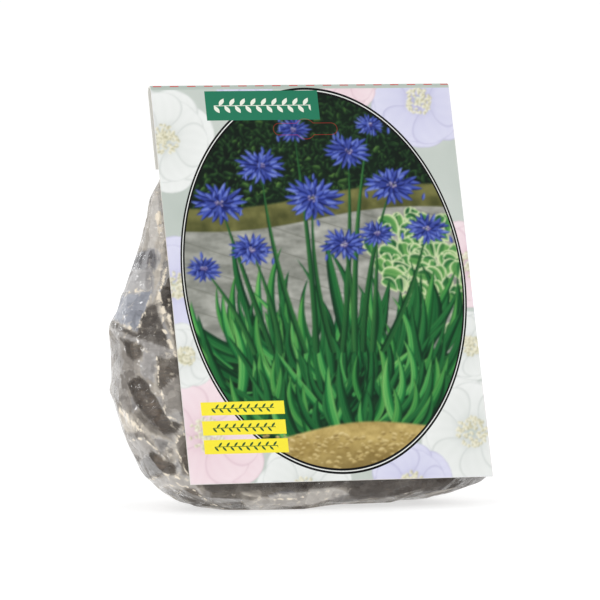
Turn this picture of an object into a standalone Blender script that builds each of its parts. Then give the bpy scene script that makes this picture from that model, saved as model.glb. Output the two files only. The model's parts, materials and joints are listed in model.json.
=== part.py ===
"""Clear film bag of three agapanthus rootstocks in damp peat, closed by a folded header card.

The bag stands on its filled foot. The card leans back against the bag's belly, and the film's
flattened neck is glued between the card's tall front panel and its short back flap.
Metres, +Z up, card towards -Y. The root empty puts the middle of the foot at the origin.
"""

import math
import random

import bmesh
import bpy
from mathutils import Vector, noise

# The header card: a small-poster format with the usual 32 mm hanging slot printed on it.
CARD_WIDTH = 0.148
CARD_HEIGHT = 0.195
CARD_THICKNESS = 0.0006
CARD_LEAN = math.radians(20.0)
CARD_FOOT = 0.014
BACK_FLAP = 0.040

# What is stacked between the card's two panels, from the front panel's rear face backwards.
CLEARANCE = 0.0003
GLUE_THICKNESS = 0.0005
GLUE_HEIGHT = 0.012
GLUE_WIDTH = 0.120
NECK_DEPTH = 0.0024
FOLD_GAP = 4 * CLEARANCE + 2 * GLUE_THICKNESS + NECK_DEPTH
FOLD_RADIUS = (FOLD_GAP + CARD_THICKNESS) / 2
FOLD_STEPS = 8

# The film bag.
FILM = 0.0008
MOUTH = 0.190
BAG_LEVELS = 28
BAG_SIDES = 40
FRONT_SHARE = 0.36
GUSSET_DEPTH = 0.006
GUSSET_HEIGHT = 0.122
GUSSET_REACH = 0.016

# Stations up the bag: height, gap behind the card's plane, depth, left and right ends in X,
# squareness of the front half and squareness of the back half.
STATIONS = (
    (0.000, 0.0160, 0.046, -0.0560, 0.0500, 2.6, 2.4),
    (0.003, 0.0105, 0.058, -0.0675, 0.0610, 2.8, 2.4),
    (0.009, 0.0045, 0.070, -0.0770, 0.0695, 3.2, 2.4),
    (0.018, 0.0012, 0.076, -0.0858, 0.0750, 3.8, 2.4),
    (0.035, 0.0007, 0.077, -0.0932, 0.0772, 4.2, 2.4),
    (0.060, 0.0006, 0.071, -0.0985, 0.0770, 4.4, 2.4),
    (0.080, 0.0006, 0.063, -0.0975, 0.0755, 4.4, 2.4),
    (0.105, 0.0006, 0.048, -0.0892, 0.0740, 4.2, 2.5),
    (0.125, 0.0007, 0.033, -0.0836, 0.0715, 4.0, 2.8),
    (0.142, 0.0009, 0.016, -0.0772, 0.0695, 5.0, 4.0),
    (0.153, 0.0011, 0.0045, -0.0728, 0.0690, 9.0, 9.0),
    (0.158, 0.0011, NECK_DEPTH / math.cos(CARD_LEAN), -0.0715, 0.0690, 12.0, 12.0),
    (MOUTH, 0.0011, NECK_DEPTH / math.cos(CARD_LEAN), -0.0705, 0.0690, 12.0, 12.0),
)

# The peat round the roots.
PEAT_TOP = 0.103
PEAT_LEVELS = 17
PEAT_SIDES = 36
PEAT_GAP = FILM + 0.0009
CLOD_SIZE = 0.024
CLOD_DEPTH = 0.0035
SURFACE_RINGS = (0.86, 0.68, 0.48, 0.26)
SURFACE_SWELL = 0.006

# The rootstocks: where each crown sits and the slot in X that its roots keep to.
CROWN_RADIUS = 0.0145
CROWNS = {
    "rootstock_left": (Vector((-0.056, 0.058, 0.098)), (-0.096, -0.038), 11),
    "rootstock_middle": (Vector((-0.006, 0.060, 0.100)), (-0.033, 0.022), 23),
    "rootstock_right": (Vector((0.046, 0.057, 0.097)), (0.027, 0.082), 37),
}
ROOTS_EACH = 10
ROOT_RADIUS = 0.0035
STOUT_SHARE = 1.55
STOUT_EVERY = 3
ROOT_TIP_SHARE = 0.45
ROOT_STEP = 0.0112
ROOT_POINTS = 9
ROOT_MARGIN = 0.0030
ROOT_FLOOR = 0.009
STUBS_EACH = 3
STUB_HEIGHT = 0.026
HOLE_CLEARANCE = 0.0005

COLOURS = {
    "card": ((0.80, 0.80, 0.84), 0.45),
    "film": ((0.62, 0.60, 0.58), 0.15),
    "peat": ((0.055, 0.040, 0.030), 0.95),
    "root": ((0.30, 0.21, 0.13), 0.80),
    "glue": ((0.85, 0.82, 0.70), 0.35),
}


def clear_scene():
    for old in list(bpy.data.objects):
        bpy.data.objects.remove(old, do_unlink=True)


def new_collection(name, shown=True):
    made = bpy.data.collections.new(name)
    bpy.context.scene.collection.children.link(made)
    made.hide_render = not shown
    return made


def material(name):
    colour, roughness = COLOURS[name]
    made = bpy.data.materials.new(name)
    made.use_nodes = True
    shader = made.node_tree.nodes["Principled BSDF"]
    shader.inputs["Base Color"].default_value = (*colour, 1.0)
    shader.inputs["Roughness"].default_value = roughness
    shader.inputs["Metallic"].default_value = 0.0
    return made


def mesh_object(name, shape, where, finish=None):
    """Turns a bmesh into an object of a collection, shaded smooth with its creases kept."""
    data = bpy.data.meshes.new(name)
    shape.to_mesh(data)
    shape.free()
    data.shade_smooth()
    data.set_sharp_from_angle(angle=math.radians(40))
    made = bpy.data.objects.new(name, data)
    where.objects.link(made)
    if finish:
        data.materials.append(finish)
    return made


def apply_modifiers(obj):
    """Keeps the evaluated shape as the object's own mesh."""
    graph = bpy.context.evaluated_depsgraph_get()
    shape = bpy.data.meshes.new_from_object(obj.evaluated_get(graph))
    obj.modifiers.clear()
    obj.data = shape


def between(column, height):
    """A station column at any height, eased so that it never overshoots its neighbours."""
    heights = [station[0] for station in STATIONS]
    values = [station[column] for station in STATIONS]
    height = min(max(height, heights[0]), heights[-1])
    last = len(heights) - 2
    i = min(next(k for k in range(len(heights)) if heights[k] >= height) or 1, last + 1) - 1
    slopes = [
        (values[k + 1] - values[k]) / (heights[k + 1] - heights[k]) for k in range(last + 1)
    ]

    def tangent(k):
        if k in (0, last + 1):
            return slopes[min(k, last)]
        before, after = slopes[k - 1], slopes[k]
        return 0.0 if before * after <= 0 else 2 * before * after / (before + after)

    span = heights[i + 1] - heights[i]
    t = (height - heights[i]) / span
    rise = values[i + 1] - values[i]
    bend_in = tangent(i) * span
    bend_out = tangent(i + 1) * span
    return (
        values[i]
        + bend_in * t
        + (3 * rise - 2 * bend_in - bend_out) * t * t
        + (bend_in + bend_out - 2 * rise) * t**3
    )


def behind_card(height, gap):
    """Y of the point that lies this far behind the front panel's rear face at a height."""
    reach = CARD_THICKNESS / 2 + gap + (height - CARD_FOOT) * math.sin(CARD_LEAN)
    return reach / math.cos(CARD_LEAN)


def section(height):
    """The bag's outer cross-section: middle, front half depth, back half depth, half width."""
    front = behind_card(height, between(1, height))
    depth = between(2, height)
    waist = front + FRONT_SHARE * depth
    left, right = between(3, height), between(4, height)
    return (
        Vector(((left + right) / 2, waist, height)),
        FRONT_SHARE * depth,
        (1 - FRONT_SHARE) * depth,
        (right - left) / 2,
    )


def signed_power(value, power):
    return math.copysign(abs(value) ** power, value)


def gusset_pull(height):
    """How far the folded side of the bag is drawn in at a height."""
    off = (height - GUSSET_HEIGHT) / GUSSET_REACH
    return GUSSET_DEPTH * math.exp(-off * off)


def section_outline(height, inset, samples=360):
    """The outer face at a height or, with an inset, the film's inner face."""
    middle, front, back, half = section(height - inset)
    fold = gusset_pull(height)
    outline = []
    for k in range(samples):
        turn = 2 * math.pi * k / samples
        across, along = math.cos(turn), math.sin(turn)
        square = between(6 if along > 0 else 5, height)
        deep = (back if along > 0 else front) - inset
        x = (half - inset) * signed_power(across, 2 / square)
        y = deep * signed_power(along, 2 / square)
        off = y / (0.5 * deep)
        x -= math.copysign(fold, x) * math.exp(-off * off) * (abs(x) > 0.5 * half)
        outline.append(Vector((middle.x + x, middle.y + y, height)))
    return outline


def bag_ring(height, count, inset=0.0):
    """Points of one level of the bag, evenly spaced round its outline."""
    outline = section_outline(height, inset)
    closed = outline + outline[:1]
    lengths = [(b - a).length for a, b in zip(closed, closed[1:])]
    pitch = sum(lengths) / count
    ring, travelled, wanted = [], 0.0, 0.0
    for start, end, length in zip(closed, closed[1:], lengths):
        while len(ring) < count and wanted <= travelled + length:
            ring.append(start.lerp(end, (wanted - travelled) / length))
            wanted += pitch
        travelled += length
    return ring


def bag_rings(top, levels, count, inset=0.0):
    """Rings up the bag, closer together at the foot where it curves most."""
    heights = [inset + (top - inset) * (k / levels) ** 1.35 for k in range(levels + 1)]
    return [bag_ring(height, count, inset) for height in heights]


def loft(shape, rings):
    """Joins rings of as many points by quads and returns their vertices."""
    rows = [[shape.verts.new(point) for point in ring] for ring in rings]
    for low, high in zip(rows, rows[1:]):
        for k in range(len(low)):
            after = (k + 1) % len(low)
            shape.faces.new((low[k], low[after], high[after], high[k]))
    return rows


def make_bag(where):
    """The film: one skin up the outside, over the mouth's edge and down the inside."""
    outside = bag_rings(MOUTH, BAG_LEVELS, BAG_SIDES)
    inside = bag_rings(MOUTH, BAG_LEVELS, BAG_SIDES, FILM)
    shape = bmesh.new()
    rows = loft(shape, outside + list(reversed(inside)))
    shape.faces.new(list(reversed(rows[0])))
    shape.faces.new(rows[-1])
    bmesh.ops.recalc_face_normals(shape, faces=shape.faces)
    return mesh_object("film_bag", shape, where, material("film"))


def clod_depth(point):
    """How far the peat's surface lies below its highest clods, by a cell pattern."""
    nearest = noise.voronoi(point / CLOD_SIZE)[0][0]
    return CLOD_DEPTH * min(1.0, (nearest / 0.62) ** 2)


def peat_rings():
    """The bag's rings moved inwards to the inside of the film, with clods pressed in."""
    skin = bag_rings(PEAT_TOP, PEAT_LEVELS, PEAT_SIDES)
    rings = []
    for level, ring in enumerate(skin):
        below = skin[max(level - 1, 0)]
        above = skin[min(level + 1, PEAT_LEVELS)]
        moved = []
        for k, point in enumerate(ring):
            around = ring[(k + 1) % PEAT_SIDES] - ring[k - 1]
            outward = around.cross(above[k] - below[k]).normalized()
            point = point - outward * (PEAT_GAP + clod_depth(point))
            point.z = max(point.z, PEAT_GAP)
            moved.append(point)
        rings.append(moved)
    return rings


def peat_surface(rim):
    """Rings over the top of the fill, uneven as shaken peat lies."""
    middle = sum(rim, Vector()) / len(rim)
    rings = []
    for share in SURFACE_RINGS:
        ring = []
        for point in rim:
            moved = middle.lerp(point, share)
            swell = noise.noise(moved / CLOD_SIZE) + 0.5 * (1 - share)
            moved.z += SURFACE_SWELL * swell - clod_depth(moved)
            ring.append(moved)
        rings.append(ring)
    return rings


def make_peat(where):
    shape = bmesh.new()
    rings = peat_rings()
    rings += peat_surface(rings[-1])
    rows = loft(shape, rings)
    shape.faces.new(list(reversed(rows[0])))
    shape.faces.new(rows[-1])
    bmesh.ops.triangulate(shape, faces=[f for f in shape.faces if len(f.verts) > 4])
    bmesh.ops.recalc_face_normals(shape, faces=shape.faces)
    return mesh_object("peat", shape, where, material("peat"))


def keep_inside(point, margin, slot):
    """Moves a root's point into the bag and into its rootstock's own slot in X."""
    height = min(max(point.z, ROOT_FLOOR), MOUTH)
    middle, front, back, half = section(height)
    x = point.x - middle.x
    y = point.y - middle.y
    wide = half - FILM - margin
    deep = (back if y > 0 else front) - FILM - margin
    reach = (abs(x / wide) ** 2.4 + abs(y / deep) ** 2.4) ** (1 / 2.4)
    if reach > 1:
        x, y = x / reach, y / reach
    low, high = slot
    x = min(max(middle.x + x, low + margin), high - margin)
    return Vector((x, middle.y + y, height))


def root_path(crown, bearing, radius, slot, dice):
    """A fleshy root: out from the crown, then down with slow turns."""
    out = Vector((math.cos(bearing), 0.8 * math.sin(bearing), 0.0))
    heading = out * dice.uniform(0.7, 1.3) - Vector((0, 0, 1)) * dice.uniform(0.4, 0.9)
    path = [crown + out * 0.5 * CROWN_RADIUS - Vector((0, 0, 0.4 * CROWN_RADIUS))]
    for _ in range(ROOT_POINTS - 1):
        sway = Vector((dice.uniform(-1, 1), dice.uniform(-1, 1), dice.uniform(-0.5, 0.2)))
        heading = (heading.normalized() + 0.42 * sway - Vector((0, 0, 0.28))).normalized()
        path.append(keep_inside(path[-1] + ROOT_STEP * heading, ROOT_MARGIN + radius, slot))
    return path


def tube(name, path, radii, where):
    """A round body along a path, as a closed mesh."""
    line = bpy.data.curves.new(name, "CURVE")
    line.dimensions = "3D"
    line.bevel_depth = 1.0
    line.bevel_resolution = 1
    line.use_fill_caps = True
    spline = line.splines.new("POLY")
    spline.points.add(len(path) - 1)
    for spot, point, radius in zip(spline.points, path, radii):
        spot.co = (*point, 1.0)
        spot.radius = radius
    curve = bpy.data.objects.new(name + "_line", line)
    where.objects.link(curve)
    graph = bpy.context.evaluated_depsgraph_get()
    shape = bmesh.new()
    shape.from_mesh(bpy.data.meshes.new_from_object(curve.evaluated_get(graph)))
    bmesh.ops.remove_doubles(shape, verts=shape.verts, dist=1e-6)
    bmesh.ops.recalc_face_normals(shape, faces=shape.faces)
    bpy.data.objects.remove(curve, do_unlink=True)
    return mesh_object(name, shape, where)


def leaf_stub(name, base, tilt, turn, grow, where):
    """The cut base of one leaf fan: a flattened, tapering sheath that leans outwards."""
    shape = bmesh.new()
    bmesh.ops.create_cone(
        shape,
        cap_ends=True,
        segments=8,
        radius1=1.0,
        radius2=0.75,
        depth=STUB_HEIGHT + 2 * grow,
    )
    made = mesh_object(name, shape, where)
    made.scale = (0.0062 + grow, 0.0042 + grow, 1.0)
    made.rotation_euler = (0.0, tilt, turn)
    made.location = base
    return made


def rootstock_pieces(name, grow, where):
    """The crown of one rootstock, and beside it the roots and leaf bases that grow from it."""
    crown, slot, seed = CROWNS[name]
    dice = random.Random(seed)
    shape = bmesh.new()
    bmesh.ops.create_icosphere(shape, subdivisions=2, radius=CROWN_RADIUS + grow)
    body = mesh_object(name, shape, where)
    body.scale = (1.0, 0.85, 1.1)
    body.location = crown
    growths = new_collection(name + "_growths", shown=False)
    for k in range(ROOTS_EACH):
        bearing = 2 * math.pi * (k + dice.uniform(-0.3, 0.3)) / ROOTS_EACH
        radius = ROOT_RADIUS * dice.uniform(0.8, 1.15)
        if k % STOUT_EVERY == 0:
            radius *= STOUT_SHARE
        path = root_path(crown, bearing, radius, slot, dice)
        radii = []
        for step in range(ROOT_POINTS):
            taper = 1 - (1 - ROOT_TIP_SHARE) * (step / (ROOT_POINTS - 1)) ** 2
            radii.append(radius * taper + grow)
        path[-1] += (path[-1] - path[-2]).normalized() * grow
        tube(f"{name}_root_{k}", path, radii, growths)
    for k in range(STUBS_EACH):
        side = k - (STUBS_EACH - 1) / 2
        tilt = 0.32 * side + dice.uniform(-0.08, 0.08)
        base = crown + Vector((0.0075 * side, dice.uniform(-0.003, 0.003), 0.85 * CROWN_RADIUS))
        leaf_stub(f"{name}_stub_{k}", base, tilt, dice.uniform(-0.5, 0.5), grow, growths)
    return body, growths


def fuse(body, growths):
    """Joins the growths to the body in one solid and removes the loose ones."""
    join = body.modifiers.new("growths", "BOOLEAN")
    join.operation = "UNION"
    join.operand_type = "COLLECTION"
    join.collection = growths
    join.solver = "EXACT"
    join.use_self = True
    apply_modifiers(body)
    for loose in list(growths.objects):
        bpy.data.objects.remove(loose, do_unlink=True)
    bpy.data.collections.remove(growths)


def make_rootstock(name, where, grow=0.0):
    body, growths = rootstock_pieces(name, grow, where)
    fuse(body, growths)
    if grow:
        body.name = name + "_hole"
        body.hide_render = True
        body.display_type = "WIRE"
    else:
        body.data.materials.append(material("root"))
    return body


def drop_scraps(obj):
    """Removes crumbs that the holes cut loose, and keeps the largest body."""
    shape = bmesh.new()
    shape.from_mesh(obj.data)
    left, bodies = set(shape.verts), []
    while left:
        found, edge = set(), [left.pop()]
        while edge:
            vert = edge.pop()
            found.add(vert)
            near = {e.other_vert(vert) for e in vert.link_edges} & left
            left -= near
            edge.extend(near)
        bodies.append(found)
    bodies.sort(key=len)
    for scrap in bodies[:-1]:
        bmesh.ops.delete(shape, geom=list(scrap), context="VERTS")
    shape.to_mesh(obj.data)
    shape.free()


def cut_root_holes(peat, cutters):
    """Opens the peat round every root, crown and leaf base."""
    cut = peat.modifiers.new("root holes", "BOOLEAN")
    cut.operation = "DIFFERENCE"
    cut.operand_type = "COLLECTION"
    cut.collection = cutters
    cut.solver = "EXACT"
    apply_modifiers(peat)
    drop_scraps(peat)


def card_profile():
    """The folded board's middle line in the card's own frame, as (backwards, upwards) points."""
    shoulder = CARD_HEIGHT - FOLD_RADIUS
    points = [(0.0, 0.0), (0.0, shoulder)]
    for k in range(1, FOLD_STEPS):
        turn = math.pi * k / FOLD_STEPS
        points.append((FOLD_RADIUS * (1 - math.cos(turn)), shoulder + FOLD_RADIUS * math.sin(turn)))
    return points + [(2 * FOLD_RADIUS, shoulder), (2 * FOLD_RADIUS, CARD_HEIGHT - BACK_FLAP)]


def make_card(where, card_frame):
    """One board, folded over the bag's neck."""
    shape = bmesh.new()
    half = CARD_WIDTH / 2
    line = [(shape.verts.new((-half, y, z)), shape.verts.new((half, y, z))) for y, z in card_profile()]
    for (a, b), (c, d) in zip(line, line[1:]):
        shape.faces.new((a, b, d, c))
    card = mesh_object("header_card", shape, where, material("card"))
    card.parent = card_frame
    board = card.modifiers.new("board", "SOLIDIFY")
    board.thickness = CARD_THICKNESS
    board.offset = 0.0
    board.use_even_offset = True
    return card


def make_glue(name, back_of_card, where, card_frame):
    """A flat strip of adhesive between the film's neck and one panel of the card."""
    shape = bmesh.new()
    bmesh.ops.create_cube(shape, size=1.0)
    bmesh.ops.scale(shape, vec=(GLUE_WIDTH, GLUE_THICKNESS, GLUE_HEIGHT), verts=shape.verts)
    strip = mesh_object(name, shape, where, material("glue"))
    strip.parent = card_frame
    middle = (MOUTH - CARD_FOOT) / math.cos(CARD_LEAN) - GLUE_HEIGHT
    strip.location = (0.0, back_of_card, middle)
    return strip


def lowest_and_highest(objects):
    graph = bpy.context.evaluated_depsgraph_get()
    corners = []
    for obj in objects:
        shown = obj.evaluated_get(graph)
        corners += [shown.matrix_world @ Vector(corner) for corner in shown.bound_box]
    low = Vector(min(corner[k] for corner in corners) for k in range(3))
    high = Vector(max(corner[k] for corner in corners) for k in range(3))
    return low, high


def main():
    clear_scene()
    parts = new_collection("bagged_rootstocks")
    cutters = new_collection("cutters", shown=False)
    root = bpy.data.objects.new("frame", None)
    card_frame = bpy.data.objects.new("card_frame", None)
    for empty in (root, card_frame):
        parts.objects.link(empty)
    card_frame.location = (0.0, 0.0, CARD_FOOT)
    card_frame.rotation_euler = (-CARD_LEAN, 0.0, 0.0)

    make_card(parts, card_frame)
    front_glue = CARD_THICKNESS / 2 + CLEARANCE + GLUE_THICKNESS / 2
    back_glue = front_glue + GLUE_THICKNESS + 2 * CLEARANCE + NECK_DEPTH
    make_glue("glue_strip_front", front_glue, parts, card_frame)
    make_glue("glue_strip_back", back_glue, parts, card_frame)
    make_bag(parts)
    for name in CROWNS:
        make_rootstock(name, parts)
        make_rootstock(name, cutters, HOLE_CLEARANCE)
    cut_root_holes(make_peat(parts), cutters)

    solids = [obj for obj in parts.objects if obj.type == "MESH"]
    for obj in solids:
        if obj.parent is None:
            obj.parent = root
    card_frame.parent = root
    bpy.context.view_layer.update()
    low, high = lowest_and_highest(solids)
    root.location = (-(low.x + high.x) / 2, -(low.y + high.y) / 2, -low.z)
    bpy.context.view_layer.update()


main()
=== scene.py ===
"""Clear film bag of flower rootstocks with a printed header card, dressed over its solids.

Lengths are in metres, except on the card's print, which is laid out in millimetres.
"""

import json
import math
import random

import bmesh
import bpy
import numpy as np
from mathutils import Matrix, Vector, geometry, noise
from mathutils.bvhtree import BVHTree

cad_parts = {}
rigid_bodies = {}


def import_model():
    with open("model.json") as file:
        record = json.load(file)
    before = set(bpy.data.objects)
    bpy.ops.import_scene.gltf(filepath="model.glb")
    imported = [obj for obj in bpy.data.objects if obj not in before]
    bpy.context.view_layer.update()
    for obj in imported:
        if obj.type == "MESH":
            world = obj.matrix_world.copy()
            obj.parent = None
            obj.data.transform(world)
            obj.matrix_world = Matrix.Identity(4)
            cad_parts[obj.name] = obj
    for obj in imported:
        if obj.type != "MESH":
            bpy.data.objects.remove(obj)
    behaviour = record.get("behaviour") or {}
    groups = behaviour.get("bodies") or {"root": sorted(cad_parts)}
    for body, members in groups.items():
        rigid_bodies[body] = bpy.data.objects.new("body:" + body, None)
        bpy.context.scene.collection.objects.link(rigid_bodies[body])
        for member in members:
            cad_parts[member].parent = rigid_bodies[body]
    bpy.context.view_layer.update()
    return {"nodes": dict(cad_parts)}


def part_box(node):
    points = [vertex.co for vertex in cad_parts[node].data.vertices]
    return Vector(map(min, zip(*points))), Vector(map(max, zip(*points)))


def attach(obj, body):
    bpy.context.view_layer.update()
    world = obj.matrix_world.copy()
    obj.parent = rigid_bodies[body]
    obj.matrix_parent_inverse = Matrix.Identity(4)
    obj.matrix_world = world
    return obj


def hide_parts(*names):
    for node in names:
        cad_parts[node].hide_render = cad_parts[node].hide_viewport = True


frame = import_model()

# The header card, in its own upright frame: X across, Y backwards, Z up the panel.
CARD_WIDTH = 0.148
CARD_HEIGHT = 0.195
CARD_THICKNESS = 0.0006
CARD_LEAN = math.radians(20.0)
CARD_FOOT = 0.014
BACK_FLAP = 0.040
FOLD_RADIUS = 0.0026
SHOULDER = CARD_HEIGHT - FOLD_RADIUS
card_low, card_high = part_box("header_card")
CARD_X = (card_low.x + card_high.x) / 2
CARD_Y = card_low.y + CARD_THICKNESS / 2 * math.cos(CARD_LEAN)

# The view: where the photograph was taken from, and how its 600 pixel frame is cut.
VIEW_TURN = math.radians(-17.3)
VIEW_RISE = math.radians(3.5)
VIEW_DISTANCE = 3.0
VIEW_PIXELS_PER_METRE_AT_1M = 6363.0
FRAME_PIXELS = 600.0
AIM_PIXEL = (317.1, 291.6)
AIM = Vector((CARD_X, CARD_Y + 0.04, 0.1))
VIEW_BACK = Vector(
    (
        math.sin(VIEW_TURN) * math.cos(VIEW_RISE),
        -math.cos(VIEW_TURN) * math.cos(VIEW_RISE),
        math.sin(VIEW_RISE),
    )
)
VIEW_RIGHT = Vector((math.cos(VIEW_TURN), math.sin(VIEW_TURN), 0.0))
VIEW_UP = VIEW_BACK.cross(VIEW_RIGHT)

# The film bag's stations: height, gap behind the card, depth, left end, right end, squareness of
# the front half and of the back half. X and Y are from the middle of the card's lower edge.
FILM = 0.0008
MOUTH = 0.190
NECK = 0.0024 / math.cos(CARD_LEAN)
FRONT_SHARE = 0.36
STATIONS = np.array(
    (
        (0.000, 0.0160, 0.046, -0.0560, 0.0500, 2.6, 2.4),
        (0.003, 0.0105, 0.058, -0.0675, 0.0610, 2.8, 2.4),
        (0.009, 0.0045, 0.070, -0.0770, 0.0695, 3.2, 2.4),
        (0.018, 0.0012, 0.076, -0.0858, 0.0750, 3.8, 2.4),
        (0.035, 0.0007, 0.077, -0.0932, 0.0772, 4.2, 2.4),
        (0.060, 0.0006, 0.071, -0.0985, 0.0770, 4.4, 2.4),
        (0.080, 0.0006, 0.063, -0.0975, 0.0755, 4.4, 2.4),
        (0.105, 0.0006, 0.048, -0.0892, 0.0740, 4.2, 2.5),
        (0.125, 0.0007, 0.033, -0.0836, 0.0715, 4.0, 2.8),
        (0.142, 0.0009, 0.016, -0.0772, 0.0695, 5.0, 4.0),
        (0.153, 0.0011, 0.0045, -0.0728, 0.0690, 9.0, 9.0),
        (0.158, 0.0011, NECK, -0.0715, 0.0690, 12.0, 12.0),
        (MOUTH, 0.0011, NECK, -0.0705, 0.0690, 12.0, 12.0),
    )
)
FILM_LEVELS = 176
FILM_QUARTERS = (
    ("right_back", 104, 1.0),
    ("left_back", 112, 1.3),
    ("left_front", 148, 1.5),
    ("right_front", 76, 0.85),
)


def let_go():
    """Selects nothing, so that an operator acts only on what is picked next."""
    bpy.ops.object.select_all(action="DESELECT")


def pick(obj):
    let_go()
    obj.select_set(True)
    bpy.context.view_layer.objects.active = obj


def keep_modifiers(obj):
    """Applies every modifier in order."""
    pick(obj)
    for modifier in list(obj.modifiers):
        bpy.ops.object.modifier_apply(modifier=modifier.name)


def settle(obj):
    """Puts the object's place into its mesh."""
    pick(obj)
    bpy.ops.object.transform_apply(location=True, rotation=True, scale=True)


def points_of(obj):
    flat = np.empty(len(obj.data.vertices) * 3)
    obj.data.vertices.foreach_get("co", flat)
    return flat.reshape(-1, 3)


def set_points(obj, points):
    obj.data.vertices.foreach_set("co", points.ravel())
    obj.data.update()


def linear(colour):
    """Screen colour to the linear colour that a shader takes."""
    colour = np.clip(np.asarray(colour, float), 0, 1)
    return np.where(colour <= 0.04045, colour / 12.92, ((colour + 0.055) / 1.055) ** 2.4)


CARD_WIDE_MM = 148.0
CARD_HIGH_MM = 195.0
PAINT_PITCH_MM = 0.275
COLUMNS = int(round(CARD_WIDE_MM / PAINT_PITCH_MM))
ROWS = int(round(CARD_HIGH_MM / PAINT_PITCH_MM))



def soft(edge, width=0.35):
    """0 below the edge and 1 above it, over a soft band in millimetres."""
    return np.clip(edge / width + 0.5, 0.0, 1.0)


class Sheet:
    """The print as rows of colour, in millimetres from the card's lower middle."""

    def __init__(self):
        across = (np.arange(COLUMNS) + 0.5) * PAINT_PITCH_MM - CARD_WIDE_MM / 2
        up = (np.arange(ROWS) + 0.5) * PAINT_PITCH_MM
        self.x, self.z = np.meshgrid(across, up)
        self.colour = np.zeros((ROWS, COLUMNS, 3))

    def window(self, low_x, low_z, high_x, high_z):
        first = max(int((low_x + CARD_WIDE_MM / 2) / PAINT_PITCH_MM), 0)
        last = min(int((high_x + CARD_WIDE_MM / 2) / PAINT_PITCH_MM) + 2, COLUMNS)
        below = max(int(low_z / PAINT_PITCH_MM), 0)
        above = min(int(high_z / PAINT_PITCH_MM) + 2, ROWS)
        if first >= last or below >= above:
            return None
        return slice(below, above), slice(first, last)

    def lay(self, where, cover, colour):
        """Lays a colour over what is there, as thick as cover says."""
        cover = cover[..., None]
        self.colour[where] = self.colour[where] * (1 - cover) + np.asarray(colour) * cover


def mix(a, b, share):
    share = np.asarray(share)[..., None]
    return np.asarray(a) * (1 - share) + np.asarray(b) * share


def value_noise(x, z, size, seed):
    """Smooth noise from 0 to 1, one value each `size` millimetres."""
    u = x / size + 1000.0
    v = z / size + 1000.0
    iu = np.floor(u)
    iv = np.floor(v)
    fu = u - iu
    fv = v - iv
    fu = fu * fu * (3 - 2 * fu)
    fv = fv * fv * (3 - 2 * fv)

    def corner(i, j):
        n = np.sin(i * 127.1 + j * 311.7 + seed * 74.7) * 43758.5453
        return n - np.floor(n)

    low = corner(iu, iv) * (1 - fu) + corner(iu + 1, iv) * fu
    high = corner(iu, iv + 1) * (1 - fu) + corner(iu + 1, iv + 1) * fu
    return low * (1 - fv) + high * fv


def cloudy(x, z, size, seed, layers=3):
    total = 0.0
    weight = 0.0
    for layer in range(layers):
        share = 0.5**layer
        total = total + share * value_noise(x, z, size * 0.5**layer, seed + layer * 11)
        weight += share
    return total / weight


def paint_leaf(sheet, root, tip, width, bend, look, dice, blunt=0.55, hem=None):
    """One leaf: a tapering blade from root to tip, bowed sideways, with a midrib and lit side."""
    length = math.dist(root, tip)
    if length < 0.3:
        return
    along = ((tip[0] - root[0]) / length, (tip[1] - root[1]) / length)
    reach = abs(bend) * length + width
    where = sheet.window(
        min(root[0], tip[0]) - reach,
        min(root[1], tip[1]) - reach,
        max(root[0], tip[0]) + reach,
        max(root[1], tip[1]) + reach,
    )
    if where is None:
        return
    dx = sheet.x[where] - root[0]
    dz = sheet.z[where] - root[1]
    t = (dx * along[0] + dz * along[1]) / length
    side = -dx * along[1] + dz * along[0]
    bow = bend * length * 4 * t * (1 - t)
    off = side - bow
    inside = np.clip(t, 0.0, 1.0)
    half = 0.5 * width * (inside**blunt) * ((1 - inside) ** 0.75) * 2.05
    half = half + 0.12 * width * (1 - inside)
    edge = np.minimum(half - np.abs(off), np.minimum(t, 1 - t) * length + 0.4)
    cover = soft(edge)
    if not cover.any():
        return
    share = np.clip(off / np.maximum(half, 0.05), -1, 1)
    dark, body, light = look
    shade = 0.5 + 0.42 * share * (1 if dice.random() > 0.3 else -1)
    shade = shade + 0.18 * (inside - 0.5) + dice.uniform(-0.1, 0.1)
    shade = shade + 0.08 * np.sin(off * 7.0) * np.clip(width / 3.0 - 0.6, 0.0, 1.0)
    shade = np.clip(shade, 0, 1)
    colour = np.where((shade < 0.5)[..., None], mix(dark, body, shade * 2), mix(body, light, shade * 2 - 1))
    rib = np.clip(1 - np.abs(off) / (0.09 * width + 0.12), 0, 1) * 0.5
    colour = mix(colour, light, rib)
    if hem is None:
        colour = mix(colour, np.asarray(dark) * 0.6, np.clip(1 - edge / (0.10 * width + 0.2), 0, 1) * 0.45)
    else:
        colour = mix(colour, hem, np.clip(1.6 - edge / (0.12 * width + 0.1), 0, 1) * 0.9)
    sheet.lay(where, cover, colour)


def paint_blob(sheet, x, z, wide, high, turn, look, dice, edge_soft=0.35):
    """A small rounded leaf or petal, lit from above."""
    reach = max(wide, high)
    where = sheet.window(x - reach, z - reach, x + reach, z + reach)
    if where is None:
        return
    dx = sheet.x[where] - x
    dz = sheet.z[where] - z
    c, s = math.cos(turn), math.sin(turn)
    a = (dx * c + dz * s) / wide
    b = (-dx * s + dz * c) / high
    away = np.sqrt(a * a + b * b)
    cover = soft((1 - away) * min(wide, high), edge_soft)
    dark, body, light = look
    shade = np.clip(0.5 + 0.45 * b + dice.uniform(-0.15, 0.15), 0, 1)
    colour = np.where((shade < 0.5)[..., None], mix(dark, body, shade * 2), mix(body, light, shade * 2 - 1))
    sheet.lay(where, cover, colour)


def tone(red, green, blue):
    return np.array((red, green, blue)) / 255.0


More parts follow.
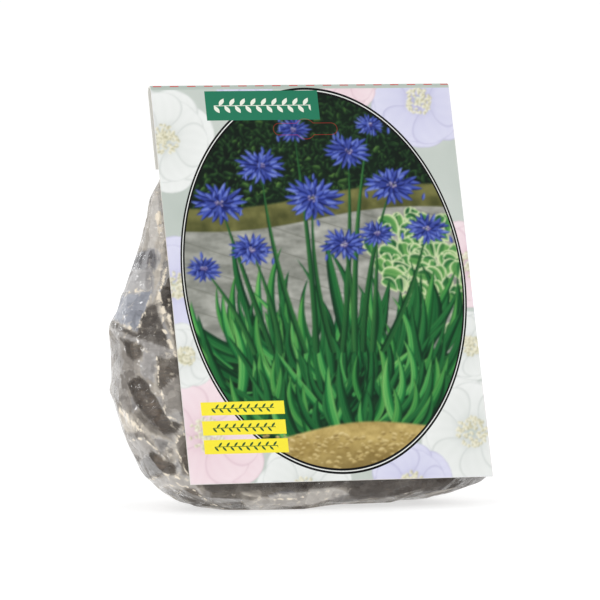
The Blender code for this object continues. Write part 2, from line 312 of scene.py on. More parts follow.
HEDGE = (tone(6, 16, 12), tone(16, 40, 22), tone(52, 88, 44))
HEDGE_LIT = (tone(18, 38, 18), tone(44, 78, 36), tone(104, 140, 70))
BLADES = (
    (tone(8, 62, 30), tone(34, 118, 54), tone(116, 184, 92)),
    (tone(12, 76, 40), tone(44, 138, 66), tone(146, 206, 112)),
    (tone(4, 40, 22), tone(14, 82, 40), tone(60, 138, 70)),
)
PALE_LEAVES = (
    (tone(24, 78, 40), tone(78, 142, 72), tone(150, 194, 112)),
    (tone(16, 66, 36), tone(56, 126, 64), tone(128, 178, 98)),
)
BLUES = (
    (tone(18, 28, 96), tone(48, 66, 160), tone(112, 130, 214)),
    (tone(28, 40, 120), tone(70, 90, 186), tone(150, 166, 232)),
    (tone(14, 20, 74), tone(36, 50, 132), tone(90, 108, 194)),
)


def paint_hedge(sheet, dice):
    where = (slice(0, ROWS), slice(0, COLUMNS))
    n = cloudy(sheet.x, sheet.z, 16.0, 3)
    sheet.colour[where] = mix(HEDGE[0], HEDGE[1], n)
    for _ in range(2600):
        x = dice.uniform(-72, 72)
        z = dice.uniform(118, 190)
        lit = value_noise(np.array(x), np.array(z), 18.0, 5)
        look = HEDGE_LIT if dice.random() < 0.18 * lit + 0.10 * (z < 150) else HEDGE
        size = dice.uniform(0.8, 2.2)
        paint_blob(sheet, x, z, size, size * 0.55, dice.uniform(-1.5, 1.5), look, dice)


def paint_path(sheet, dice):
    """A pale paved band that runs behind the flowers, with a low mossy kerb above it."""
    where = sheet.window(-74, 56, 74, 150)
    x = sheet.x[where]
    z = sheet.z[where]
    top = 128 + 3.0 * np.sin(x / 24.0) + 0.06 * x
    grain = cloudy(x, z * 3.0, 9.0, 21)
    fine = cloudy(x, z, 1.6, 23, 2)
    stone = np.clip(grain * 1.1 - 0.1 + 0.25 * (fine - 0.5), 0, 1)
    stone = mix(tone(122, 124, 116), tone(192, 192, 184), stone)
    slant = (z - 100) + 0.35 * x
    joint = np.clip(1 - np.abs((slant / 11.0) % 1.0 - 0.5) / 0.035, 0, 1)
    stone = mix(stone, tone(96, 98, 88), joint * 0.7)
    sheet.lay(where, soft(top - z, 0.8), stone)
    kerb = soft(z - top + 0.3, 0.6) * soft(top + 11 - z, 1.2)
    moss = mix(tone(58, 62, 30), tone(132, 130, 76), cloudy(x, z, 5.0, 31) * 0.9 + 0.2 * soft(z - top - 5, 3.0))
    sheet.lay(where, kerb, moss)


def paint_pale_bush(sheet, dice):
    """A cushion of broad leaves with cream edges on the right."""
    spots = []
    while len(spots) < 120:
        x = 52 + dice.gauss(0, 12)
        z = 112 + dice.gauss(0, 16) - 0.02 * (x - 52) ** 2
        if x > 22 and 74 < z < 134:
            spots.append((x, z))
    for x, z in sorted(spots, key=lambda spot: -spot[1]):
        turn = -0.6 - 1.4 * dice.random() - (x - 52) * 0.02
        size = dice.uniform(9.0, 14.5)
        tip = (x + size * math.cos(turn), z + size * math.sin(turn) * 0.8)
        look = dice.choice(PALE_LEAVES)
        bend = dice.uniform(-0.18, 0.18)
        paint_leaf(sheet, (x, z), tip, size * 0.52, bend, look, dice, blunt=0.45, hem=tone(222, 230, 184))


def paint_blades(sheet, dice):
    """The mass of lance leaves, from the back row to the front."""
    where = sheet.window(-74, 0, 74, 104)
    x = sheet.x[where]
    z = sheet.z[where]
    deep = mix(tone(4, 26, 16), tone(20, 64, 34), cloudy(x, z, 6.0, 41))
    rim = 60 + 5 * np.sin(x / 13.0) + 14 * cloudy(x, z, 5.0, 43)
    sheet.lay(where, soft(rim - z, 3.0), deep)
    rows = 8
    for row in range(rows):
        share = row / (rows - 1)
        count = 30
        for k in range(count):
            x0 = -60 + 120 * (k + dice.random()) / count
            z0 = 58 - 40 * share + dice.uniform(-4, 4)
            height = dice.uniform(34, 66) * (1 - 0.32 * share)
            lean = dice.gauss(0, 0.34) + x0 / 75
            tip = (x0 + height * math.sin(lean), z0 + height * math.cos(lean) * dice.uniform(0.8, 1.0))
            look = BLADES[(row + k) % 3] if dice.random() > 0.35 else BLADES[2]
            bend = -0.10 * math.copysign(1.0, lean) + dice.uniform(-0.12, 0.12)
            paint_leaf(sheet, (x0, z0), tip, dice.uniform(3.0, 5.6), bend, look, dice)


def paint_flower(sheet, x, z, size, squash, dice):
    """A many-petalled blue flower seen a little from the side."""
    for layer, (count, reach) in enumerate(((19, 1.0), (15, 0.76), (10, 0.5))):
        start = dice.uniform(0, math.tau)
        for k in range(count):
            turn = start + math.tau * (k + dice.uniform(-0.2, 0.2)) / count
            length = size * reach * dice.uniform(0.85, 1.1)
            root = (x + 0.12 * size * math.cos(turn), z + 0.12 * size * math.sin(turn) * squash)
            tip = (x + length * math.cos(turn), z + length * math.sin(turn) * squash)
            look = BLUES[layer] if dice.random() > 0.3 else BLUES[(layer + 1) % 3]
            paint_leaf(sheet, root, tip, size * 0.23, dice.uniform(-0.08, 0.08), look, dice, blunt=0.9)
    for _ in range(14):
        a = dice.uniform(0, math.tau)
        r = size * 0.16 * math.sqrt(dice.random())
        look = (tone(40, 30, 80), tone(120, 110, 170), tone(230, 224, 210))
        paint_blob(sheet, x + r * math.cos(a), z + r * math.sin(a) * squash, 0.5, 0.5, 0, look, dice)


FLOWERS = (
    (-46, 136, 14.0),
    (-24, 154, 12.5),
    (0, 138, 15.0),
    (20, 161, 12.0),
    (40, 144, 14.0),
    (55, 122, 11.0),
    (-33, 113, 11.0),
    (13, 115, 11.5),
    (-57, 104, 9.0),
    (32, 174, 8.0),
    (-6, 172, 9.0),
    (30, 120, 9.0),
)


def paint_flowers(sheet, dice):
    for x, z, size in FLOWERS:
        foot = (x * 0.55 + dice.uniform(-6, 6), 62)
        look = (tone(10, 50, 26), tone(24, 84, 42), tone(80, 140, 70))
        paint_leaf(sheet, foot, (x, z), 1.7, dice.uniform(-0.05, 0.05), look, dice, blunt=0.1)
    for x, z, size in sorted(FLOWERS, key=lambda spot: -spot[1]):
        paint_flower(sheet, x, z, size, 0.72, dice)
        for _ in range(3):
            bx = x + dice.uniform(-1.2, 1.2) * size
            bz = z + dice.uniform(-0.7, 1.0) * size
            paint_leaf(sheet, (bx, bz - 1.6), (bx + dice.uniform(-1, 1), bz + 1.8), 1.5, 0, BLUES[1], dice)


def paint_ground(sheet, dice):
    """An ochre band of baked earth and gravel along the foot."""
    where = sheet.window(-74, 0, 74, 42)
    x = sheet.x[where]
    z = sheet.z[where]
    top = 24 + 3.5 * np.sin(x / 19.0 + 1.0) + 0.05 * x
    n = cloudy(x, z * 1.6, 8.0, 51)
    f = cloudy(x, z, 1.1, 53, 2)
    earth = mix(tone(132, 108, 52), tone(214, 190, 122), np.clip(n + 0.3 * (f - 0.5), 0, 1))
    earth = mix(earth, tone(90, 74, 40), np.clip((top - z) / 30 - 0.3, 0, 0.6))
    sheet.lay(where, soft(top - z, 1.0), earth)
    for _ in range(420):
        px = dice.uniform(-60, 60)
        pz = dice.uniform(2, 23)
        look = (tone(118, 96, 50), tone(190, 166, 104), tone(232, 214, 160))
        size = dice.uniform(0.5, 1.5)
        paint_blob(sheet, px, pz, size, size * 0.65, dice.uniform(-0.4, 0.4), look, dice)


def paint_daisy(sheet, x, z, size, petals, turn, tint, dice, eye=True):
    """A broad pastel bloom for the border."""
    dark, body, light = tint
    for layer in range(2):
        for k in range(petals):
            a = turn + math.tau * (k + 0.5 * layer) / petals + dice.uniform(-0.06, 0.06)
            length = size * (1.0 - 0.12 * layer) * dice.uniform(0.93, 1.05)
            root = (x + 0.10 * size * math.cos(a), z + 0.10 * size * math.sin(a))
            tip = (x + length * math.cos(a), z + length * math.sin(a))
            paint_petal(sheet, root, tip, size * 1.9 * math.sin(math.pi / petals) * 1.05, tint, dice)
    if eye:
        for _ in range(90):
            a = dice.uniform(0, math.tau)
            r = size * 0.27 * math.sqrt(dice.random())
            look = (tone(176, 172, 138), tone(226, 222, 196), tone(250, 248, 232))
            paint_blob(sheet, x + r * math.cos(a), z + r * math.sin(a), 0.9, 0.7, dice.uniform(0, 3), look, dice)


def paint_petal(sheet, root, tip, width, tint, dice):
    """A broad petal with a rounded end, faint veins and a soft shaded edge."""
    length = math.dist(root, tip)
    along = ((tip[0] - root[0]) / length, (tip[1] - root[1]) / length)
    reach = width
    where = sheet.window(
        min(root[0], tip[0]) - reach,
        min(root[1], tip[1]) - reach,
        max(root[0], tip[0]) + reach,
        max(root[1], tip[1]) + reach,
    )
    if where is None:
        return
    dx = sheet.x[where] - root[0]
    dz = sheet.z[where] - root[1]
    t = (dx * along[0] + dz * along[1]) / length
    off = -dx * along[1] + dz * along[0]
    inside = np.clip(t, 0, 1)
    half = 0.5 * width * np.sqrt(np.clip(1 - (2 * np.clip((inside - 0.12) / 0.88, 0, 1) ** 1.25 - 1) ** 2, 0, 1))
    half = np.maximum(half, 0.10 * width * (1 - inside))
    edge = np.minimum(half - np.abs(off), np.minimum(t, 1 - t) * length + 0.3)
    cover = soft(edge)
    dark, body, light = tint
    vein = 0.5 + 0.5 * np.sin(off / np.maximum(half, 0.3) * 14.0 + dice.uniform(0, 6))
    shade = 0.25 + 0.55 * inside + 0.10 * vein + 0.12 * (cloudy(sheet.x[where], sheet.z[where], 6.0, 77) - 0.5)
    shade = np.clip(shade + dice.uniform(-0.06, 0.06), 0, 1)
    colour = mix(body, light, shade)
    colour = mix(colour, dark, np.clip(1 - edge / 1.3, 0, 1) * 0.55)
    colour = mix(colour, dark, np.clip(0.35 - inside, 0, 1) * 1.2)
    sheet.lay(where, cover, colour)


LILAC = (tone(172, 170, 204), tone(204, 204, 232), tone(226, 226, 244))
ROSE = (tone(208, 176, 188), tone(236, 208, 216), tone(246, 230, 234))
WHITE = (tone(190, 196, 192), tone(222, 226, 222), tone(242, 244, 242))

BLOOMS = (
    (-70, 168, 26, 7, 0.3, WHITE), (-64, 24, 30, 8, 0.1, ROSE), (58, 186, 25, 6, 0.5, LILAC),
    (66, 22, 28, 7, 0.9, WHITE), (-72, 96, 24, 6, 0.2, LILAC), (74, 104, 22, 7, 0.0, ROSE),
    (-18, -4, 24, 7, 0.4, WHITE), (22, 198, 18, 6, 0.1, ROSE), (-28, 200, 17, 7, 0.2, LILAC),
    (34, -2, 20, 6, 0.4, LILAC), (70, 64, 18, 6, 0.4, WHITE), (-70, 62, 16, 7, 0.8, WHITE),
)


def paint_border(sheet, dice):
    where = (slice(0, ROWS), slice(0, COLUMNS))
    n = cloudy(sheet.x, sheet.z, 22.0, 61)
    sheet.colour[where] = mix(tone(186, 196, 188), tone(208, 214, 208), n)
    for x, z, size, petals, turn, tint in BLOOMS:
        paint_daisy(sheet, x, z, size, petals, turn, tint, dice)


def oval_inside(sheet):
    a = (sheet.x - OVAL_MIDDLE[0]) / OVAL_HALF[0]
    b = (sheet.z - OVAL_MIDDLE[1]) / OVAL_HALF[1]
    return (1 - np.sqrt(a * a + b * b)) * min(OVAL_HALF)


def even_out(colour):
    """Averages each spot with its neighbours, so that thin marks stay even on the card's mesh."""
    for axis in (0, 1):
        colour = 0.5 * colour + 0.25 * (np.roll(colour, 1, axis) + np.roll(colour, -1, axis))
    return colour


def paint_card():
    picture = Sheet()
    dice = random.Random(5)
    paint_hedge(picture, dice)
    paint_path(picture, dice)
    paint_pale_bush(picture, dice)
    paint_blades(picture, dice)
    paint_ground(picture, dice)
    paint_flowers(picture, dice)
    border = Sheet()
    paint_border(border, random.Random(9))
    inside = soft(oval_inside(picture))
    border.lay((slice(0, ROWS), slice(0, COLUMNS)), inside, picture.colour)
    return even_out(border.colour)



# The print's plain marks, in millimetres from the card's lower middle.
OVAL_MIDDLE = (1.5, 98.0)
OVAL_HALF = (68.9, 93.6)
OVAL_RINGS = ((0.0, 0.45), (1.15, 0.45))
TITLE_PANEL = (-48.0, 177.0, 7.8, 191.6)
NAME_STRIPS = ((-65.3, 32.9, -24.8, 39.3), (-65.5, 23.3, -25.0, 30.2), (-65.6, 14.3, -24.8, 21.1))
SLOT_MIDDLE = (0.0, 172.4)
SLOT_WING_HALF = (15.8, 2.9)
SLOT_DOME = 5.0
FOLD_DASH_HEIGHT = 194.4
DASH_PITCH = 8.4


def make_card():
    """The folded card: a tall printed front panel, a rounded fold and a short back flap."""
    let_go()
    bpy.ops.mesh.primitive_plane_add(size=1, location=(0, 0, SHOULDER / 2), rotation=(math.radians(90), 0, 0))
    card = bpy.context.object
    card.name = "printed_header_card"
    card.scale = (CARD_WIDTH, SHOULDER, 1)
    settle(card)
    bpy.ops.object.mode_set(mode="EDIT")
    mesh = bmesh.from_edit_mesh(card.data)
    for edge in mesh.edges:
        edge.select_set(all(v.co.z > SHOULDER - 1e-5 for v in edge.verts))
    mesh.select_flush(False)
    bmesh.update_edit_mesh(card.data)
    bpy.ops.mesh.spin(steps=10, angle=math.pi, center=(0, FOLD_RADIUS, SHOULDER), axis=(1, 0, 0))
    bpy.ops.mesh.extrude_region_move(
        TRANSFORM_OT_translate={"value": (0, 0, -(BACK_FLAP - FOLD_RADIUS))}
    )
    bpy.ops.object.mode_set(mode="OBJECT")
    merge_and_face_out(card)
    board = card.modifiers.new("board", "SOLIDIFY")
    board.thickness = CARD_THICKNESS
    board.offset = 0
    board.use_even_offset = True
    keep_modifiers(card)
    cut_for_print(card)
    return card


def merge_and_face_out(obj, reach=1e-6, recalculate=False):
    pick(obj)
    bpy.ops.object.mode_set(mode="EDIT")
    bpy.ops.mesh.select_all(action="SELECT")
    bpy.ops.mesh.remove_doubles(threshold=reach)
    if recalculate:
        bpy.ops.mesh.normals_make_consistent(inside=False)
    bpy.ops.object.mode_set(mode="OBJECT")


def cut_edges(obj, chosen, cuts):
    """Cuts every edge that `chosen` picks into cuts + 1 pieces."""
    pick(obj)
    bpy.ops.object.mode_set(mode="EDIT")
    bpy.ops.mesh.select_mode(type="EDGE")
    bpy.ops.mesh.select_all(action="DESELECT")
    mesh = bmesh.from_edit_mesh(obj.data)
    for edge in mesh.edges:
        edge.select_set(chosen(edge))
    bmesh.update_edit_mesh(obj.data)
    bpy.ops.mesh.subdivide(number_cuts=cuts)
    bpy.ops.object.mode_set(mode="OBJECT")


def on_print(edge, axis):
    """Whether an edge lies in the front face of the panel and runs along an axis."""
    a, b = (v.co for v in edge.verts)
    front = -CARD_THICKNESS / 2 - 1e-5
    if not (front < a.y < front + 2e-5 and front < b.y < front + 2e-5):
        return False
    if max(a.z, b.z) > SHOULDER + 1e-4:
        return False
    other = 0 if axis == 2 else 2
    return abs(a[axis] - b[axis]) > 1e-6 and abs(a[other] - b[other]) < 1e-6


def cut_for_print(card):
    """Cuts the panel's front face finely enough to carry the painted picture."""
    cut_edges(card, lambda edge: on_print(edge, 2), 49)
    cut_edges(card, lambda edge: on_print(edge, 2), 6)
    cut_edges(card, lambda edge: on_print(edge, 0), 66)
    cut_edges(card, lambda edge: on_print(edge, 0), 3)


def print_on(card):
    """Gives each point its place on the card in millimetres and its printed colour."""
    points = points_of(card)
    place = np.zeros((len(points), 3))
    turned = np.arctan2(np.maximum(points[:, 2] - SHOULDER, 0.0), FOLD_RADIUS - points[:, 1])
    rolled = np.where(points[:, 2] > SHOULDER, SHOULDER + FOLD_RADIUS * turned, points[:, 2])
    flap = (points[:, 1] > FOLD_RADIUS) & (points[:, 2] <= SHOULDER + 1e-4)
    rolled = np.where(flap, SHOULDER + FOLD_RADIUS * math.pi + SHOULDER - points[:, 2], rolled)
    place[:, 0] = points[:, 0] * 1000
    place[:, 1] = rolled * 1000
    layer = card.data.attributes.new("card_place", "FLOAT_VECTOR", "POINT")
    layer.data.foreach_set("vector", place.ravel())
    sheet = paint_card()
    colour = linear(sheet)
    across = (place[:, 0] + CARD_WIDE_MM / 2) / PAINT_PITCH_MM - 0.5
    up = place[:, 1] / PAINT_PITCH_MM - 0.5
    shown = np.ones((len(points), 4))
    shown[:, :3] = smooth_sample(colour, across, up)
    layer = card.data.attributes.new("print_colour", "FLOAT_COLOR", "POINT")
    layer.data.foreach_set("color", shown.ravel())
    for polygon in card.data.polygons:
        middle = polygon.center
        normal = polygon.normal
        on_front = normal.y < -0.9 and middle.y < -CARD_THICKNESS / 2 + 1e-5
        wraps = middle.z > SHOULDER and (Vector((0, middle.y - FOLD_RADIUS, middle.z - SHOULDER)).dot(normal) > 0)
        on_back = normal.y > 0.9 and middle.y > 2 * FOLD_RADIUS + CARD_THICKNESS / 2 - 1e-5
        rim = abs(normal.x) > 0.9
        if on_front and middle.z < SHOULDER:
            polygon.material_index = 1
        elif (wraps or on_back) and not rim:
            polygon.material_index = 2
        else:
            polygon.material_index = 0


def smooth_sample(colour, across, up):
    """The painted colour at fractional columns and rows."""
    rows, columns = colour.shape[:2]
    across = np.clip(across, 0, columns - 1.001)
    up = np.clip(up, 0, rows - 1.001)
    left = across.astype(int)
    low = up.astype(int)
    fx = (across - left)[:, None]
    fz = (up - low)[:, None]
    bottom = colour[low, left] * (1 - fx) + colour[low, left + 1] * fx
    top = colour[low + 1, left] * (1 - fx) + colour[low + 1, left + 1] * fx
    return bottom * (1 - fz) + top * fz


def stand_card(card):
    """Leans the card back and stands its lower edge in front of the bag."""
    card.rotation_euler = (-CARD_LEAN, 0, 0)
    card.location = (CARD_X, CARD_Y, CARD_FOOT)
    settle(card)



def between(column, height):
    """A station column at any height, eased so that it never overshoots its neighbours."""
    heights = STATIONS[:, 0]
    values = STATIONS[:, column]
    height = min(max(height, heights[0]), heights[-1])
    last = len(heights) - 2
    i = min(max(int(np.searchsorted(heights, height)) - 1, 0), last)
    slopes = np.diff(values) / np.diff(heights)

    def tangent(k):
        if k in (0, last + 1):
            return slopes[min(k, last)]
        before, after = slopes[k - 1], slopes[k]
        return 0.0 if before * after <= 0 else 2 * before * after / (before + after)

    span = heights[i + 1] - heights[i]
    t = (height - heights[i]) / span
    rise = values[i + 1] - values[i]
    bend_in = tangent(i) * span
    bend_out = tangent(i + 1) * span
    return (
        values[i]
        + bend_in * t
        + (3 * rise - 2 * bend_in - bend_out) * t * t
        + (bend_in + bend_out - 2 * rise) * t**3
    )


def behind_card(height, gap):
    """How far back of the card's foot a point at a height lies, this far behind the panel."""
    reach = CARD_THICKNESS / 2 + gap + (height - CARD_FOOT) * math.sin(CARD_LEAN)
    return reach / math.cos(CARD_LEAN)


# The side folds that draw the bag in, and the square lower right corner behind the card.
GUSSET_DEPTH = 0.006
GUSSET_HEIGHT = 0.122
GUSSET_REACH = 0.016
CORNER_HEIGHTS = (0.0, 0.004, 0.010, 0.020, 0.035, 0.060)
CORNER_SQUARENESS = (2.6, 4.5, 10.0, 11.0, 6.5, 4.4)
CORNER_REACH = 0.0042
FOOT_LIFT_X = (-0.015, 0.0, 0.028, 0.038, 0.060, 0.080)
FOOT_LIFTS = (0.0, 0.0018, 0.0020, 0.0042, 0.0044, 0.0052)


def bag_outline(height, inset=0.0, samples=720):
    """The bag's outline at a height, from its right end round by the back."""
    level = height - inset
    front_y = behind_card(level, between(1, level))
    depth = between(2, level)
    left = between(3, level)
    right = between(4, level)
    turn = np.linspace(0, 2 * math.pi, samples + 1)
    across = np.cos(turn)
    along = np.sin(turn)
    corner = max(between(5, level), float(np.interp(level, CORNER_HEIGHTS, CORNER_SQUARENESS)))
    front = np.where(across > 0, corner, between(5, level))
    square = np.where(along > 0, between(6, level), front)
    deep = np.where(along > 0, 1 - FRONT_SHARE, FRONT_SHARE) * depth - inset
    wide = (right - left) / 2 - inset
    x = wide * np.sign(across) * np.abs(across) ** (2 / square)
    y = deep * np.sign(along) * np.abs(along) ** (2 / square)
    fold = GUSSET_DEPTH * math.exp(-(((level - GUSSET_HEIGHT) / GUSSET_REACH) ** 2))
    x = x - np.sign(x) * fold * np.exp(-((y / (0.5 * deep)) ** 2)) * (np.abs(x) > 0.5 * wide)
    near_corner = CORNER_REACH * math.exp(-(((level - 0.011) / 0.006) ** 2))
    x = x + near_corner * np.clip(2 * across, 0, 1) * np.clip(0.25 - 2 * along, 0, 1)
    x = x + (left + right) / 2 + CARD_X
    y = y + front_y + FRONT_SHARE * depth + CARD_Y
    return np.column_stack((x, y))


def spread_columns():
    """Where each column lies in its quarter of the outline: close together on the left."""
    columns = []
    for quarter, count, ease in FILM_QUARTERS:
        share = np.arange(count) / count
        columns.append(1 - (1 - share) ** ease if quarter == "left_back" else share**ease)
    return columns


def bag_grid(heights, inset=0.0):
    """Points of the bag's surface, one row for each height."""
    quarters = spread_columns()
    rows = []
    for height in heights:
        outline = bag_outline(height, inset)
        step = np.linalg.norm(np.diff(outline, axis=0), axis=1)
        travelled = np.concatenate(([0.0], np.cumsum(step)))
        quarter = (len(outline) - 1) // 4
        places = []
        for k, shares in enumerate(quarters):
            low, high = travelled[k * quarter], travelled[(k + 1) * quarter]
            places.append(low + shares * (high - low))
        places = np.concatenate(places)
        x = np.interp(places, travelled, outline[:, 0])
        y = np.interp(places, travelled, outline[:, 1])
        rows.append(np.column_stack((x, y, np.full(len(x), height))))
    return np.array(rows)


def grid_normals(grid):
    """Outward normals of a closed band of points."""
    around = np.roll(grid, -1, axis=1) - np.roll(grid, 1, axis=1)
    above = np.gradient(grid, axis=0)
    normals = np.cross(around, above)
    return normals / np.maximum(np.linalg.norm(normals, axis=2, keepdims=True), 1e-12)


def pixels_of(points):
    """Where points fall in the photograph's 600 pixel frame."""
    aim, back = np.array(AIM), np.array(VIEW_BACK)
    away = points - (aim + back * VIEW_DISTANCE)
    depth = -(away @ back)
    across = AIM_PIXEL[0] + VIEW_PIXELS_PER_METRE_AT_1M * (away @ np.array(VIEW_RIGHT)) / depth
    down = AIM_PIXEL[1] - VIEW_PIXELS_PER_METRE_AT_1M * (away @ np.array(VIEW_UP)) / depth
    return np.stack((across, down), axis=-1)


# Fold lines of the film in the photograph, as pixels, each with how far it stands out (mm) and
# how strongly a painted glint shows along its crease.
FOLDS = (
    ("flap_outer_edge", ((158, 192), (148, 224), (138, 256), (128, 290), (118, 318)), 0.6, 0.2),
    ("flap_foot", ((118, 318), (128, 327), (137, 333)), 1.2, 0.9),
    ("flap_free_edge", ((137, 333), (146, 316), (151, 298), (154, 275), (157, 250), (159, 222)), 1.3, 0.8),
    ("flap_cross_lines", ((141, 260), (149, 266), (154, 272)), 0.3, 0.5),
    ("flap_bubble_line", ((128, 296), (138, 292), (148, 291)), 0.4, 0.6),
    ("ridge_beside_flap", ((165, 236), (162, 260), (159, 283), (152, 308), (149, 322)), 1.1, 1.0),
    ("ridge_by_card", ((158, 300), (163, 322), (170, 338), (174, 350)), 0.9, 1.0),
    ("shoulder_fold", ((113, 326), (128, 338), (142, 348), (155, 356), (167, 358), (178, 355)), 1.1, 0.7),
    ("upper_root_side", ((141, 350), (140, 362), (142, 376)), 0.5, 0.3),
    ("long_fold", ((142, 376), (155, 397), (166, 418), (176, 430)), 1.0, 0.6),
    ("cream_fold", ((157, 358), (155, 372), (156, 384), (163, 398), (166, 418)), 1.0, 1.0),
    ("pocket_fold", ((166, 418), (181, 420), (184, 430)), 0.8, 0.8),
    ("pocket_top", ((166, 416), (184, 406)), 0.3, 0.4),
    ("left_slant", ((112, 392), (124, 404), (134, 414), (150, 434), (162, 453)), 0.9, 0.5),
    ("left_glint", ((121, 407), (128, 420), (138, 432)), 0.7, 1.0),
    ("lower_curl", ((129, 440), (140, 438), (151, 444), (163, 455)), 1.0, 0.8),
    ("lower_pocket", ((141, 464), (150, 456), (163, 455)), 0.4, 0.3),
    ("side_pleat", ((176, 430), (174, 444), (178, 458), (184, 470), (190, 480)), 1.0, 0.7),
    ("corner_fold", ((152, 480), (160, 476), (170, 470), (178, 458)), 0.8, 0.5),
    ("corner_crease", ((158, 488), (170, 479), (178, 484), (194, 503)), 0.9, 0.8),
    ("foot_pleat_one", ((207, 488), (210, 508)), 0.6, 0.4),
    ("foot_pleat_two", ((226, 494), (244, 511)), 0.7, 0.7),
    ("foot_streak_one", ((232, 491), (262, 497), (300, 494), (338, 490)), 0.6, 0.7),
    ("foot_streak_two", ((250, 506), (282, 501), (322, 500), (352, 493)), 0.6, 0.6),
    ("foot_streak_three", ((340, 503), (380, 498), (430, 494), (470, 486)), 0.5, 0.4),
)
FLAP = ((158, 190), (148, 224), (138, 256), (128, 290), (118, 318), (137, 333), (146, 316), (151, 298), (154, 275), (157, 250), (160, 216))
FLAP_LIFT = 0.0009


def film_places(grid, normals):
    """Each surface point's distance round the bag and up it, and its pixel where it faces the view."""
    seen = normals @ np.array(VIEW_BACK) > 0.02
    middle = int(np.argmin(np.abs(grid[:, 0, 2] - 0.06)))
    ring = grid[middle]
    step = np.linalg.norm(np.roll(ring, -1, axis=0) - ring, axis=1)
    around = np.concatenate(([0.0], np.cumsum(step)))
    pixels = pixels_of(grid.reshape(-1, 3)).reshape(grid.shape[0], grid.shape[1], 2)
    pixels[~seen] = (-1e4, -1e4)
    return around[:-1], around[-1], pixels


def place_of_pixel(pixel, around, heights, pixels):
    off = np.hypot(pixels[..., 0] - pixel[0], pixels[..., 1] - pixel[1])
    level, column = np.unravel_index(int(np.argmin(off)), off.shape)
    return around[column], heights[level]


def loose_creases(girth, taken, dice):
    """Points of small random folds between the main ones: flat streaks low down, pleats high up."""
    spots = []
    height = 0.0015
    while height < 0.156:
        if height < 0.014:
            pitch, rise = 0.0140, 0.0045
        elif height < 0.092:
            pitch, rise = 0.0125, 0.0105
        else:
            pitch, rise = 0.0085, 0.0190
        count = int(girth / pitch)
        for k in range(count):
            place = (girth * (k + dice.uniform(-0.42, 0.42)) / count) % girth
            level = height + dice.uniform(-0.42, 0.42) * rise
            clear = min((math.hypot(place - a, level - b) for a, b in taken), default=1.0)
            if clear > 0.42 * pitch and 0.0005 < level < 0.157:
                spots.append((place, level))
        height += rise
    return spots


def crease_height(level, dice):
    """How far a random crease point stands out or in: least at the foot and the glued neck."""
    reach = np.interp(level, (0.0, 0.006, 0.03, 0.09, 0.12, 0.15, 0.158), (0.1, 0.5, 0.8, 0.9, 1.3, 0.8, 0.0))
    return 2.0 * float(reach) * dice.choice((-0.8, -0.5, 0.4, 1.0)) * dice.uniform(0.5, 1.0) / 1000


CREASE_BEND = 0.0028


def chance_of(number, which):
    """A number from 0 to 1 that always belongs to the same given number."""
    spread = np.sin(number * 12.9898 + which * 78.233) * 43758.5453
    return spread - np.floor(spread)


